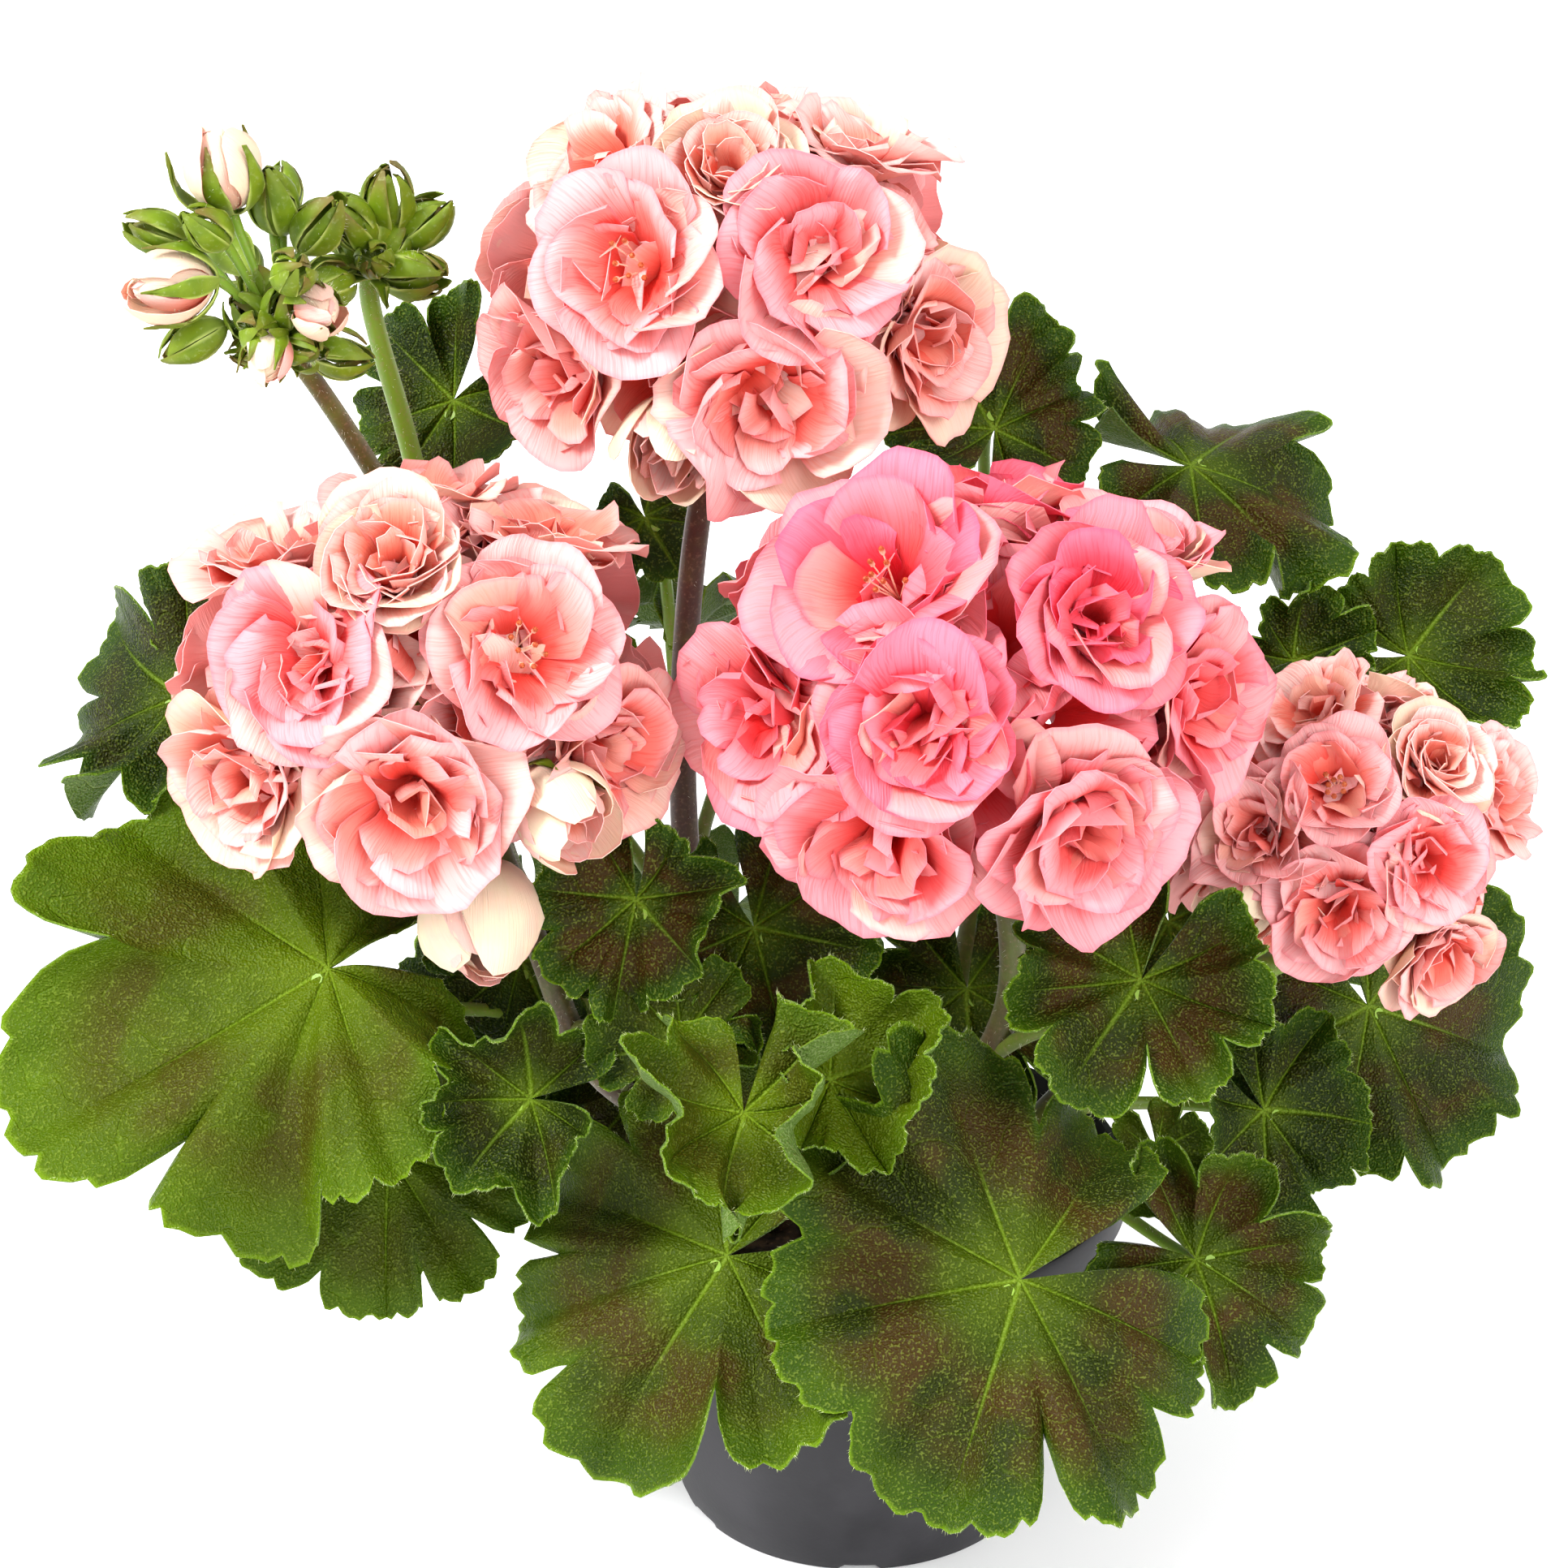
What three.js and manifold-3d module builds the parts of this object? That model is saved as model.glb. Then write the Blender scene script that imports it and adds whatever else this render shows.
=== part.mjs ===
// Potted rosebud pelargonium in a plain nursery pot.
// Millimetres, +Z up, front towards -Y, origin at the middle of the pot's underside.
// A turn is measured about Z from the front towards +X, and a rise from the horizontal.
import * as THREE from 'three';
import { mergeVertices } from 'three/addons/utils/BufferGeometryUtils.js';
import Module from 'manifold-3d';

// Driving dimensions of the pot and the soil
const POT_RIM_RADIUS = 65;
const POT_BASE_RADIUS = 44;
const POT_HEIGHT = 89;
const POT_WALL = 1.8;
const POT_FLOOR = 3.4;
const RIM_BAND_HEIGHT = 9;
const RIM_STEP = 1.6;
const RIM_THICKNESS = 2.6;
const BASE_BEVEL = 1.5;
const POT_SIDES = 26;
const CHANNEL_COUNT = 6;
const CHANNEL_WIDTH = 9;
const CHANNEL_DEPTH = 1.8;
const CHANNEL_START = 26;
const DRAIN_RADIUS = 3.2;
const SOIL_LEVEL = 79;
const SOIL_CROWN = 3;
const CLEARANCE = 0.3;

// Driving dimensions of the plant
const BLADE_THICKNESS = 0.8;
const PETAL_THICKNESS = 0.9;
const LEAF_LOBES = 7;
const LEAF_REACH = 168;
const LARGE_LEAF = 50;
const SMALL_LEAF = 24;
const PETIOLE_RADIUS = 1.4;
const VEIN_STEP = (2 * LEAF_REACH) / LEAF_LOBES;
const JOINT_OFFSET = 3.6;
const TRUNK_RADIUS = 4.2;
const PEDUNCLE_RADIUS = 2.6;
const PETALS = 5;
const SEPALS = 4;
const BUD_PETALS = 3;
const BUD_ROOT_SHARE = 0.42;
const BUD_STALK_RADIUS = 1.3;
const STALK_SIDES = 5;
const RIPPLE = 0.12;
const CORE_SHARE = 0.7;
const FLORET_SHARE = 0.8;
const SMALL_FLORET = 21;
const STEM_SIDES = 6;
const STEM_STEP = 23;
const PETIOLE_STEP = 26;
const STALK_RADIUS = 2.2;
const KNOT_RADIUS = 3.6;

const UP = new THREE.Vector3(0, 0, 1);
const wasm = await Module();
wasm.setup();

// A repeatable draw between 0 and 1
function draws(seed) {
  let state = seed * 7919 + 17;
  return () => {
    state = (state * 16807) % 2147483647;
    return state / 2147483647;
  };
}

function radians(degrees) {
  return THREE.MathUtils.degToRad(degrees);
}

function vector(place) {
  return new THREE.Vector3(...place);
}

// The direction with a given turn and rise
function direction(turn, rise) {
  const t = radians(turn);
  const r = radians(rise);
  return new THREE.Vector3(Math.sin(t) * Math.cos(r), -Math.cos(t) * Math.cos(r), Math.sin(r));
}

// Axes of a face: right and up as seen by someone who looks at it, and its normal
function facing(turn, rise) {
  const normal = direction(turn, rise);
  const right = new THREE.Vector3().crossVectors(UP, normal).normalize();
  const up = new THREE.Vector3().crossVectors(normal, right);
  return { right, up, normal };
}

// The way out from a face's normal at an angle round it
function outward(axes, angle) {
  return axes.right.clone().multiplyScalar(Math.cos(angle)).addScaledVector(axes.up, Math.sin(angle));
}

// Solids from closed meshes, and meshes from solids
function solidOf(vertices, triangles) {
  const mesh = new wasm.Mesh({
    numProp: 3,
    vertProperties: new Float32Array(vertices.flatMap((v) => [v.x, v.y, v.z])),
    triVerts: new Uint32Array(triangles.flat()),
  });
  return new wasm.Manifold(mesh);
}

function solidFrom(geometry) {
  const plain = geometry.clone();
  plain.deleteAttribute('normal');
  plain.deleteAttribute('uv');
  const merged = mergeVertices(plain, 1e-4);
  const mesh = new wasm.Mesh({
    numProp: 3,
    vertProperties: new Float32Array(merged.attributes.position.array),
    triVerts: new Uint32Array(merged.index.array),
  });
  return new wasm.Manifold(mesh);
}

function join(solids) {
  return solids.reduce((whole, next) => whole.add(next));
}

// The largest closed body of a solid, without loose scraps or sealed hollows
function mainBody(solid) {
  const bodies = solid.decompose().filter((body) => body.volume() > 0);
  return bodies.reduce((best, body) => (body.volume() > best.volume() ? body : best));
}

function addMesh(parent, name, solid, material) {
  const result = mainBody(solid).getMesh();
  const geometry = new THREE.BufferGeometry();
  geometry.setAttribute('position', new THREE.BufferAttribute(result.vertProperties, 3));
  geometry.setIndex(new THREE.BufferAttribute(result.triVerts, 1));
  geometry.computeVertexNormals();
  const mesh = new THREE.Mesh(geometry, material);
  mesh.name = name;
  parent.add(mesh);
}

// A sheet of triangles made a closed plate: the same triangles on both faces, and a wall round the edge
function plate(vertices, triangles, thickness) {
  const normals = vertices.map(() => new THREE.Vector3());
  for (const [a, b, c] of triangles) {
    const ab = vertices[b].clone().sub(vertices[a]);
    const ac = vertices[c].clone().sub(vertices[a]);
    const cross = ab.cross(ac);
    normals[a].add(cross);
    normals[b].add(cross);
    normals[c].add(cross);
  }
  normals.forEach((normal) => normal.normalize());
  const upper = vertices.map((v, i) => v.clone().addScaledVector(normals[i], thickness / 2));
  const lower = vertices.map((v, i) => v.clone().addScaledVector(normals[i], -thickness / 2));
  const count = vertices.length;
  const faces = triangles.map((t) => [...t]);
  triangles.forEach(([a, b, c]) => faces.push([a + count, c + count, b + count]));
  const edges = new Map();
  for (const [a, b, c] of triangles) {
    for (const [from, to] of [[a, b], [b, c], [c, a]]) {
      edges.set(`${from} ${to}`, [from, to]);
    }
  }
  for (const [from, to] of edges.values()) {
    if (!edges.has(`${to} ${from}`)) {
      faces.push([from, from + count, to], [to, from + count, to + count]);
    }
  }
  return solidOf([...upper, ...lower], faces);
}

// A closed round bar along a list of points, with a radius at each of them
function bar(points, radii, sides) {
  const vertices = [];
  const faces = [];
  let side = new THREE.Vector3(1, 0, 0);
  points.forEach((point, i) => {
    const before = points[Math.max(i - 1, 0)];
    const after = points[Math.min(i + 1, points.length - 1)];
    const along = after.clone().sub(before).normalize();
    if (i === 0 && Math.abs(along.x) > 0.9) {
      side = new THREE.Vector3(0, 1, 0);
    }
    side.addScaledVector(along, -side.dot(along)).normalize();
    const other = new THREE.Vector3().crossVectors(along, side);
    for (let k = 0; k < sides; k++) {
      const angle = (2 * Math.PI * k) / sides;
      const spoke = side.clone().multiplyScalar(Math.cos(angle)).addScaledVector(other, Math.sin(angle));
      vertices.push(point.clone().addScaledVector(spoke, radii[i]));
    }
  });
  for (let i = 0; i + 1 < points.length; i++) {
    for (let k = 0; k < sides; k++) {
      const next = (k + 1) % sides;
      const low = i * sides;
      const high = low + sides;
      faces.push([low + k, low + next, high + next], [low + k, high + next, high + k]);
    }
  }
  const last = (points.length - 1) * sides;
  for (let k = 1; k + 1 < sides; k++) {
    faces.push([0, k + 1, k], [last, last + k, last + k + 1]);
  }
  return solidOf(vertices, faces);
}

function taperedBar(curve, steps, startRadius, endRadius, sides) {
  const points = curve.getPoints(steps);
  const radii = points.map((_, i) => THREE.MathUtils.lerp(startRadius, endRadius, i / steps));
  return bar(points, radii, sides);
}

// An egg-shaped body along a direction, with small flat ends
const EGG_START = 0.12;
const EGG_FOOT = Math.cos(EGG_START * Math.PI) / 2;
function egg(centre, axis, radius, length, sides, rings) {
  const points = [];
  const radii = [];
  for (let i = 0; i <= rings; i++) {
    const angle = THREE.MathUtils.lerp(EGG_START, 0.93, i / rings) * Math.PI;
    points.push(centre.clone().addScaledVector(axis, (-Math.cos(angle) * length) / 2));
    radii.push(radius * Math.sin(angle) ** 0.8);
  }
  return bar(points, radii, sides);
}

// Pot: a thin tapered shell with a rolled band at the rim and raised drainage channels in its base
function makePot() {
  const outer = (z) => THREE.MathUtils.lerp(POT_BASE_RADIUS, POT_RIM_RADIUS - RIM_STEP, z / POT_HEIGHT);
  const bandFoot = POT_HEIGHT - RIM_BAND_HEIGHT;
  const outline = [
    [0, 0], [POT_BASE_RADIUS - BASE_BEVEL, 0], [POT_BASE_RADIUS, BASE_BEVEL], [outer(bandFoot), bandFoot],
    [POT_RIM_RADIUS, bandFoot], [POT_RIM_RADIUS, POT_HEIGHT], [POT_RIM_RADIUS - RIM_THICKNESS, POT_HEIGHT],
    [outer(bandFoot) - POT_WALL, bandFoot], [outer(POT_FLOOR) - POT_WALL, POT_FLOOR], [0, POT_FLOOR],
  ];
  const profile = outline.map(([r, z]) => new THREE.Vector2(r, z));
  const turned = new THREE.LatheGeometry(profile, POT_SIDES).rotateX(Math.PI / 2);
  let pot = solidFrom(turned);
  const length = POT_BASE_RADIUS - CHANNEL_START + 10;
  for (let i = 0; i < CHANNEL_COUNT; i++) {
    const angle = ((i + 0.5) * 2 * Math.PI) / CHANNEL_COUNT;
    const channel = new THREE.BoxGeometry(length, CHANNEL_WIDTH, 2 * CHANNEL_DEPTH);
    channel.translate(CHANNEL_START + length / 2, 0, 0).rotateZ(angle);
    const drain = new THREE.CylinderGeometry(DRAIN_RADIUS, DRAIN_RADIUS, 4 * POT_FLOOR, 6);
    drain.rotateX(Math.PI / 2).translate(POT_BASE_RADIUS - 9, 0, 0).rotateZ(angle);
    pot = pot.subtract(solidFrom(channel)).subtract(solidFrom(drain));
  }
  return pot;
}

// Soil: a crumbly plug that fills the pot, a little below the rim
function makeSoil() {
  const slope = (POT_RIM_RADIUS - RIM_STEP - POT_BASE_RADIUS) / POT_HEIGHT;
  const inner = (z) => POT_BASE_RADIUS + slope * z - POT_WALL - CLEARANCE - 0.3;
  const foot = POT_FLOOR + CLEARANCE;
  const outline = [
    [0, foot], [inner(foot), foot], [inner(SOIL_LEVEL - 2), SOIL_LEVEL - 2],
    [inner(SOIL_LEVEL) - 5, SOIL_LEVEL], [28, SOIL_LEVEL + SOIL_CROWN * 0.8], [0, SOIL_LEVEL + SOIL_CROWN],
  ];
  const profile = outline.map(([r, z]) => new THREE.Vector2(r, z));
  return solidFrom(new THREE.LatheGeometry(profile, POT_SIDES / 2).rotateX(Math.PI / 2));
}

// Leaf: a round palmate blade with scalloped lobes, on polar rings round the point where the stalk joins
function leafPoint(leaf, share, angle, phases) {
  const lobe = (((angle + LEAF_REACH) / VEIN_STEP) % 1 + 1) % 1;
  const reach = 1 - (1 - leaf.back) * Math.abs(angle / LEAF_REACH) ** 1.3;
  const notch = 1 - leaf.cut * Math.abs(Math.cos(Math.PI * lobe)) ** 3 * share;
  const radius = leaf.size * reach * notch * share;
  const a = radians(angle);
  let u = radius * Math.cos(a);
  let v = radius * Math.sin(a);
  const pleat = 0.035 * share * Math.cos(2 * Math.PI * lobe);
  const wave = 0.05 * share ** 2 * (Math.sin(2 * a + phases[0]) + 0.7 * Math.sin(3 * a + phases[1]));
  let w = leaf.size * (leaf.cup * share ** 2 + pleat + wave);
  const fold = radians(leaf.fold) / leaf.size;
  if (Math.abs(fold) > 1e-6) {
    const radiusAcross = 1 / fold - w;
    w = 1 / fold - radiusAcross * Math.cos(fold * v);
    v = radiusAcross * Math.sin(fold * v);
  }
  const droop = -radians(leaf.droop) / leaf.size;
  if (Math.abs(droop) > 1e-6) {
    const radiusAlong = 1 / droop - w;
    w = 1 / droop - radiusAlong * Math.cos(droop * u);
    u = radiusAlong * Math.sin(droop * u);
  }
  return [u, v, w];
}

function makeBlade(leaf) {
  const random = draws(leaf.seed);
  const phases = [random() * 2 * Math.PI, random() * 2 * Math.PI];
  const [turn, rise, vein] = leaf.face;
  const { right, up, normal } = facing(turn, rise);
  const spin = radians(vein);
  const along = right.clone().multiplyScalar(Math.cos(spin)).addScaledVector(up, Math.sin(spin));
  const across = new THREE.Vector3().crossVectors(normal, along);
  const place = (share, angle) => {
    const [u, v, w] = leafPoint(leaf, share, angle, phases);
    return vector(leaf.at).addScaledVector(along, u).addScaledVector(across, v).addScaledVector(normal, w);
  };
  const lobeSteps = leaf.size < LARGE_LEAF ? 3 : 4;
  const rimSteps = LEAF_LOBES * lobeSteps;
  const vertices = [place(0, 0)];
  const innerAngles = [-LEAF_REACH];
  for (let i = 0; i < LEAF_LOBES; i++) {
    innerAngles.push(-LEAF_REACH + (i + 0.5) * VEIN_STEP);
  }
  innerAngles.push(LEAF_REACH);
  innerAngles.forEach((angle) => vertices.push(place(0.55, angle)));
  const rimStart = vertices.length;
  for (let i = 0; i <= rimSteps; i++) {
    vertices.push(place(1, -LEAF_REACH + (i * 2 * LEAF_REACH) / rimSteps));
  }
  const triangles = [];
  if (leaf.size < SMALL_LEAF) {
    const rim = vertices.slice(rimStart);
    rim.forEach((_, i) => i > 0 && triangles.push([0, i, i + 1]));
    return plate([vertices[0], ...rim], triangles, BLADE_THICKNESS);
  }
  for (let i = 0; i + 1 < innerAngles.length; i++) {
    triangles.push([0, i + 1, i + 2]);
  }
  const rimOf = (inner) => THREE.MathUtils.clamp(Math.floor((inner - 0.5) * lobeSteps), 0, rimSteps);
  for (let i = 0; i + 1 < innerAngles.length; i++) {
    const middle = i * lobeSteps;
    for (let k = rimOf(i); k < middle; k++) {
      triangles.push([i + 1, rimStart + k, rimStart + k + 1]);
    }
    triangles.push([i + 1, rimStart + middle, i + 2]);
    for (let k = middle; k < rimOf(i + 1); k++) {
      triangles.push([i + 2, rimStart + k, rimStart + k + 1]);
    }
  }
  return plate(vertices, triangles, BLADE_THICKNESS);
}

// Stalk of a leaf: from its stem it rises, bends out and meets the blade from behind, just beside the
// point where the blade's veins meet
function makePetiole(leaf, start) {
  const [turn, rise, vein] = leaf.face;
  const { right, up, normal } = facing(turn, rise);
  const beside = radians(vein + VEIN_STEP / 2);
  const end = vector(leaf.at)
    .addScaledVector(right, JOINT_OFFSET * Math.cos(beside))
    .addScaledVector(up, JOINT_OFFSET * Math.sin(beside));
  const span = start.distanceTo(end);
  const first = start.clone().addScaledVector(UP, span * 0.2).lerp(end, 0.25);
  const behind = end.clone().addScaledVector(normal, -span * 0.3);
  const curve = new THREE.CubicBezierCurve3(start, first, behind, end);
  const steps = Math.max(3, Math.round(span / PETIOLE_STEP));
  return taperedBar(curve, steps, PETIOLE_RADIUS * 1.4, PETIOLE_RADIUS, 3);
}

// Leaves: at is where stalk and blade meet, and face is the turn and rise that the upper face looks along
// and the way of the middle vein as seen from there (0 right, -90 down). Size is that vein's length, cup
// lifts the edge, fold closes the halves, droop bends the tip away, back is the share of size at the back,
// cut is the depth between lobes, and from is the height at which the stalk leaves the stem
const USUAL_LEAF = { cup: 0.04, fold: 8, droop: 10, back: 0.72, cut: 0.18 };
const LEAVES = {
  front_left: [
    {
      at: [-31, -72, 106], face: [-10, 42, -158],
      size: 60, cup: 0.02, fold: -6, droop: 12, back: 0.7, from: 92,
    },
    {
      at: [-75, -64, 142], face: [-6, 24, -172],
      size: 27, cup: 0.06, fold: 18, droop: -34, back: 0.85, from: 136,
    },
    { at: [-51, -54, 187], face: [-5, 32, -92], size: 24, cup: 0.12, fold: 16, droop: 8, from: 128 },
    { at: [-41, -62, 156], face: [2, 28, 142], size: 22, cup: 0.05, fold: 6, droop: 5, from: 122 },
    { at: [-25, -42, 174], face: [8, 32, -70], size: 28, cup: 0.06, fold: 10, droop: 8, from: 150 },
    {
      at: [-27, -88, 152], face: [2, 50, -98],
      size: 32, cup: 0.06, fold: 100, droop: 8, cut: 0.26, back: 0.8, from: 142,
    },
  ],
  left: [
    {
      at: [-121, -45, 165], face: [-15, 52, -150],
      size: 75, cup: 0.03, fold: -8, droop: 14, back: 0.3, from: 114,
    },
    { at: [-111, -26, 106], face: [-15, 35, -96], size: 42, cup: 0.02, fold: -6, from: 92 },
    { at: [-87, 20, 125], face: [-8, 30, -80], size: 34, cup: 0.03, from: 102 },
    { at: [-158, 5, 210], face: [-25, 42, -158], size: 37, droop: 16, cut: 0.26, from: 152 },
    { at: [-150, 24, 224], face: [-30, 36, 160], size: 19, cup: 0.1, fold: 14, droop: 8, from: 162 },
    { at: [-97, 60, 263], face: [-12, 34, -120], size: 30, cup: 0.06, fold: 14, droop: 14, from: 176 },
  ],
  front: [
    { at: [34, -92, 112], face: [8, 42, -166], size: 58, cup: 0.02, fold: -6, back: 0.85, from: 92 },
    {
      at: [-8, -70, 150], face: [10, 40, 24],
      size: 28, cup: 0.08, fold: 20, droop: -16, back: 0.45, from: 116,
    },
    { at: [61, -62, 171], face: [10, 45, -125], size: 35, cup: 0.03, fold: -6, back: 0.75, from: 130 },
  ],
  right: [
    { at: [68, -42, 116], face: [5, 30, -70], size: 16, cup: 0.1, fold: 16, droop: 6, from: 94 },
    { at: [76, -62, 99], face: [20, 35, -40], size: 36, cut: 0.26, from: 90 },
    { at: [124, 18, 122], face: [26, 20, -66], size: 46, cup: 0.03, fold: -26, back: 0.8, from: 112 },
    { at: [97, -5, 106], face: [24, 22, -55], size: 28, cup: 0.06, fold: 12, from: 100 },
  ],
  back_left: [
    { at: [-52, 68, 230], face: [-5, 35, -60], size: 16, cup: 0.08, fold: 14, droop: 6, from: 150 },
    { at: [-88, 70, 120], face: [-126, 48, -100], size: 48, cup: 0.03, fold: -6, droop: 14, from: 98 },
    { at: [-30, 94, 112], face: [-168, 42, -84], size: 48, cup: 0.03, fold: -8, droop: 14, from: 104 },
    { at: [-84, 66, 188], face: [-125, 50, -110], size: 41, droop: 14, from: 128 },
    { at: [-24, 86, 201], face: [-172, 48, -95], size: 43, droop: 12, from: 148 },
  ],
  back_right: [
    { at: [32, 56, 257], face: [18, 44, 62], size: 31, cup: 0.05, fold: -10, from: 178 },
    { at: [80, 66, 244], face: [24, 66, -18], size: 42, fold: -8, droop: 24, back: 0.6, from: 170 },
    { at: [133, 50, 201], face: [14, 42, -10], size: 33, cup: 0.06, droop: 8, cut: 0.26, from: 140 },
    { at: [104, 40, 204], face: [10, 30, 24], size: 21, cup: 0.08, droop: 6, from: 150 },
    { at: [38, 104, 126], face: [162, 44, -100], size: 46, cup: 0.03, fold: -8, droop: 14, from: 98 },
    { at: [99, 68, 120], face: [114, 48, -75], size: 48, cup: 0.03, fold: -6, droop: 14, from: 108 },
    { at: [86, 90, 176], face: [128, 50, -90], size: 40, droop: 14, from: 130 },
    { at: [34, 104, 200], face: [170, 48, -85], size: 38, droop: 12, from: 144 },
  ],
};

// Leafy stems: the way of each from its hole in the soil, up to the end of its flower stalk
const STEMS = {
  front_left: [
    [-18, -15, 66], [-20, -16, 82], [-34, -22, 104], [-62, -30, 131], [-75, -35, 168], [-88, -35, 208],
  ],
  left: [[-27, 4, 66], [-29, 4, 82], [-56, 2, 118], [-82, 2, 165], [-97, 6, 215]],
  front: [[4, -22, 66], [5, -23, 82], [18, -30, 112], [33, -36, 150], [32, -42, 180], [24, -45, 208]],
  right: [[27, -4, 66], [30, -4, 82], [52, -3, 112], [82, -4, 138], [104, -9, 152], [112, -10, 166]],
  back_left: [[-15, 20, 66], [-17, 20, 82], [-36, 18, 122], [-42, 13, 180], [-38, 15, 250], [-30, 11, 284]],
  back_right: [[16, 21, 66], [18, 23, 82], [26, 40, 118], [34, 52, 160], [40, 60, 200]],
};

// Flower heads: middle, half sizes, and the florets as turn, rise and radius
const HEADS = {
  a: {
    stem: 'back_left', at: [-28, 10, 308], half: [56, 52, 47],
    florets: [
      [-6, 60, 19], [-88, 48, 21], [96, 54, 21], [-34, 24, 22], [26, 28, 22], [68, -12, 22], [8, -22, 25],
      [-68, -22, 22], [180, 62, 21], [148, 14, 23], [-146, 14, 23], [-108, 6, 19], [112, -16, 19],
    ],
  },
  b: {
    stem: 'front_left', at: [-98, -35, 231], half: [55, 52, 51],
    florets: [
      [-10, 62, 20], [104, 50, 21], [-96, 44, 21], [40, 30, 22], [-36, 28, 22], [-64, -22, 23], [0, -16, 25],
      [66, -12, 22], [180, 60, 21], [146, 14, 23], [-148, 14, 23], [-106, 2, 19], [112, -18, 19],
    ],
  },
  c: {
    stem: 'front', at: [23.5, -45, 233], half: [61, 54, 52],
    florets: [
      [-46, 54, 27], [-16, 14, 22], [42, 42, 24], [-72, 0, 24], [-30, -30, 25], [28, -22, 26], [80, 4, 23],
      [98, 44, 22], [170, 62, 23], [148, 10, 25], [-148, 14, 25], [-112, 32, 20], [118, -28, 20],
    ],
  },
  d: {
    stem: 'right', at: [114, -10, 180], half: [42, 38, 43],
    florets: [
      [40, 50, 16], [-96, 62, 16], [90, 22, 16], [-24, 42, 16], [34, 4, 17], [48, -36, 17], [-10, -10, 19],
      [-74, 12, 17], [168, 48, 16], [156, -6, 19], [-148, 8, 19],
    ],
  },
};

// Single buds in the heads, half open or still closed: middle, way of the tip, radius and length
const HEAD_BUDS = {
  open_a: { head: 'a', at: [-42, -21, 283], turn: -20, rise: -25, radius: 10, length: 24, open: true },
  open_b: { head: 'b', at: [-67, -69, 216], turn: 36, rise: -20, radius: 10, length: 24, open: true },
  closed_b: { head: 'b', at: [-84, -58, 186], turn: 12, rise: -45, radius: 12.5, length: 25, open: false },
  open_d: { head: 'd', at: [87, -27, 173], turn: -40, rise: -15, radius: 7.5, length: 19, open: true },
};

// Bud clusters: where the stalk ends, the way that it comes, and the buds round it
const CLUSTERS = {
  brown: {
    stalk: [[-82, 2, 165], [-98, 22, 212], [-108, 24, 246], [-111, 16, 259], [-124, 3, 289], [-129, -1, 298]],
    green: [
      [-131, 9, 328, -10, 62, 4.6, 17], [-144, -8, 327, -40, 40, 4.2, 13], [-121, 7, 323, 60, 50, 5.4, 15],
      [-125, -17, 320, 20, 30, 4.3, 12], [-148, -4, 300, -70, -25, 4.3, 13],
      [-156, 4, 322, -80, 25, 4.2, 13], [-141, 17, 312, -150, 10, 5, 15], [-121, 15, 306, 140, 0, 4.6, 14],
      [-132, 20, 326, 180, 40, 4.6, 14],
    ],
    cream: [
      [-141, 0, 338, -20, 70, 8.2, 21], [-152, -10, 315, -70, 0, 7.6, 19], [-120, -14, 311, 30, 5, 6.2, 15],
      [-131, -14, 300, -10, -35, 4.8, 13],
    ],
  },
  green: {
    stalk: [[-56, 2, 118], [-76, 22, 165], [-98, 30, 225], [-105, 30, 262], [-113, 30, 300], [-112, 30, 306]],
    green: [
      [-116, 25, 318, -30, 50, 4.6, 14], [-103, 26, 306, 60, 5, 5, 15], [-108, 32, 321, 10, 70, 4.8, 15],
      [-101, 34, 315, 80, 40, 4.6, 14], [-114, 38, 313, -160, 30, 4.6, 14],
    ],
    cream: [],
  },
};

// Petal: a cupped blade fanned round a middle point, its narrow root sunk into what it grows from
function makePetal(centre, axes, angle, corners, radius, thickness) {
  const out = outward(axes, angle);
  const side = new THREE.Vector3().crossVectors(axes.normal, out);
  const vertices = corners.map(([reach, spread, height]) => centre.clone()
    .addScaledVector(out, reach * radius)
    .addScaledVector(side, spread * radius)
    .addScaledVector(axes.normal, height * radius));
  const triangles = [];
  for (let i = 1; i < vertices.length; i++) {
    triangles.push([0, i, i + 1 < vertices.length ? i + 1 : 1]);
  }
  return plate(vertices, triangles, thickness);
}

// Corners of a head bud's outer petal, middle first, and its reach from the axis, spread and height
const BUD_PETAL_CORNERS = [
  [1.02, 0, 0.1], [0.6, -0.3, -0.8], [0.9, -0.5, 0.3], [0.72, -0.3, 1], [0.72, 0.3, 1], [0.9, 0.5, 0.3],
  [0.6, 0.3, -0.8],
];

// Rings of points about an axis: a ring repeats its points once for each petal, and each point has
// its share of the way round that petal, its reach from the axis and its height
function ringPoints(centre, axes, start, petals, ring, radius, ripple) {
  const points = [];
  for (let petal = 0; petal < petals; petal++) {
    for (const [share, reach, height] of ring) {
      const angle = start + ((petal + share) * 2 * Math.PI) / petals;
      const place = centre.clone().addScaledVector(outward(axes, angle), reach * radius);
      points.push(place.addScaledVector(axes.normal, (height + ripple(petal, share)) * radius));
    }
  }
  return points;
}

// Triangles between a ring with one point for each petal and the next, with one or more
function ringTriangles(low, lowFirst, high, highFirst, petals) {
  const width = high.length / petals;
  const triangles = [];
  for (let petal = 0; petal < petals; petal++) {
    const next = (petal + 1) % petals;
    const rim = (i) => highFirst + ((petal * width + i) % high.length);
    if (width === 1) {
      const [p, q] = [highFirst + petal, highFirst + next];
      triangles.push([lowFirst + petal, lowFirst + next, q], [lowFirst + petal, q, p]);
      continue;
    }
    for (let i = 0; i < width; i++) {
      triangles.push([lowFirst + petal, rim(i + 1), rim(i)]);
    }
    triangles.push([lowFirst + petal, lowFirst + next, rim(width)]);
  }
  return triangles;
}

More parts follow.
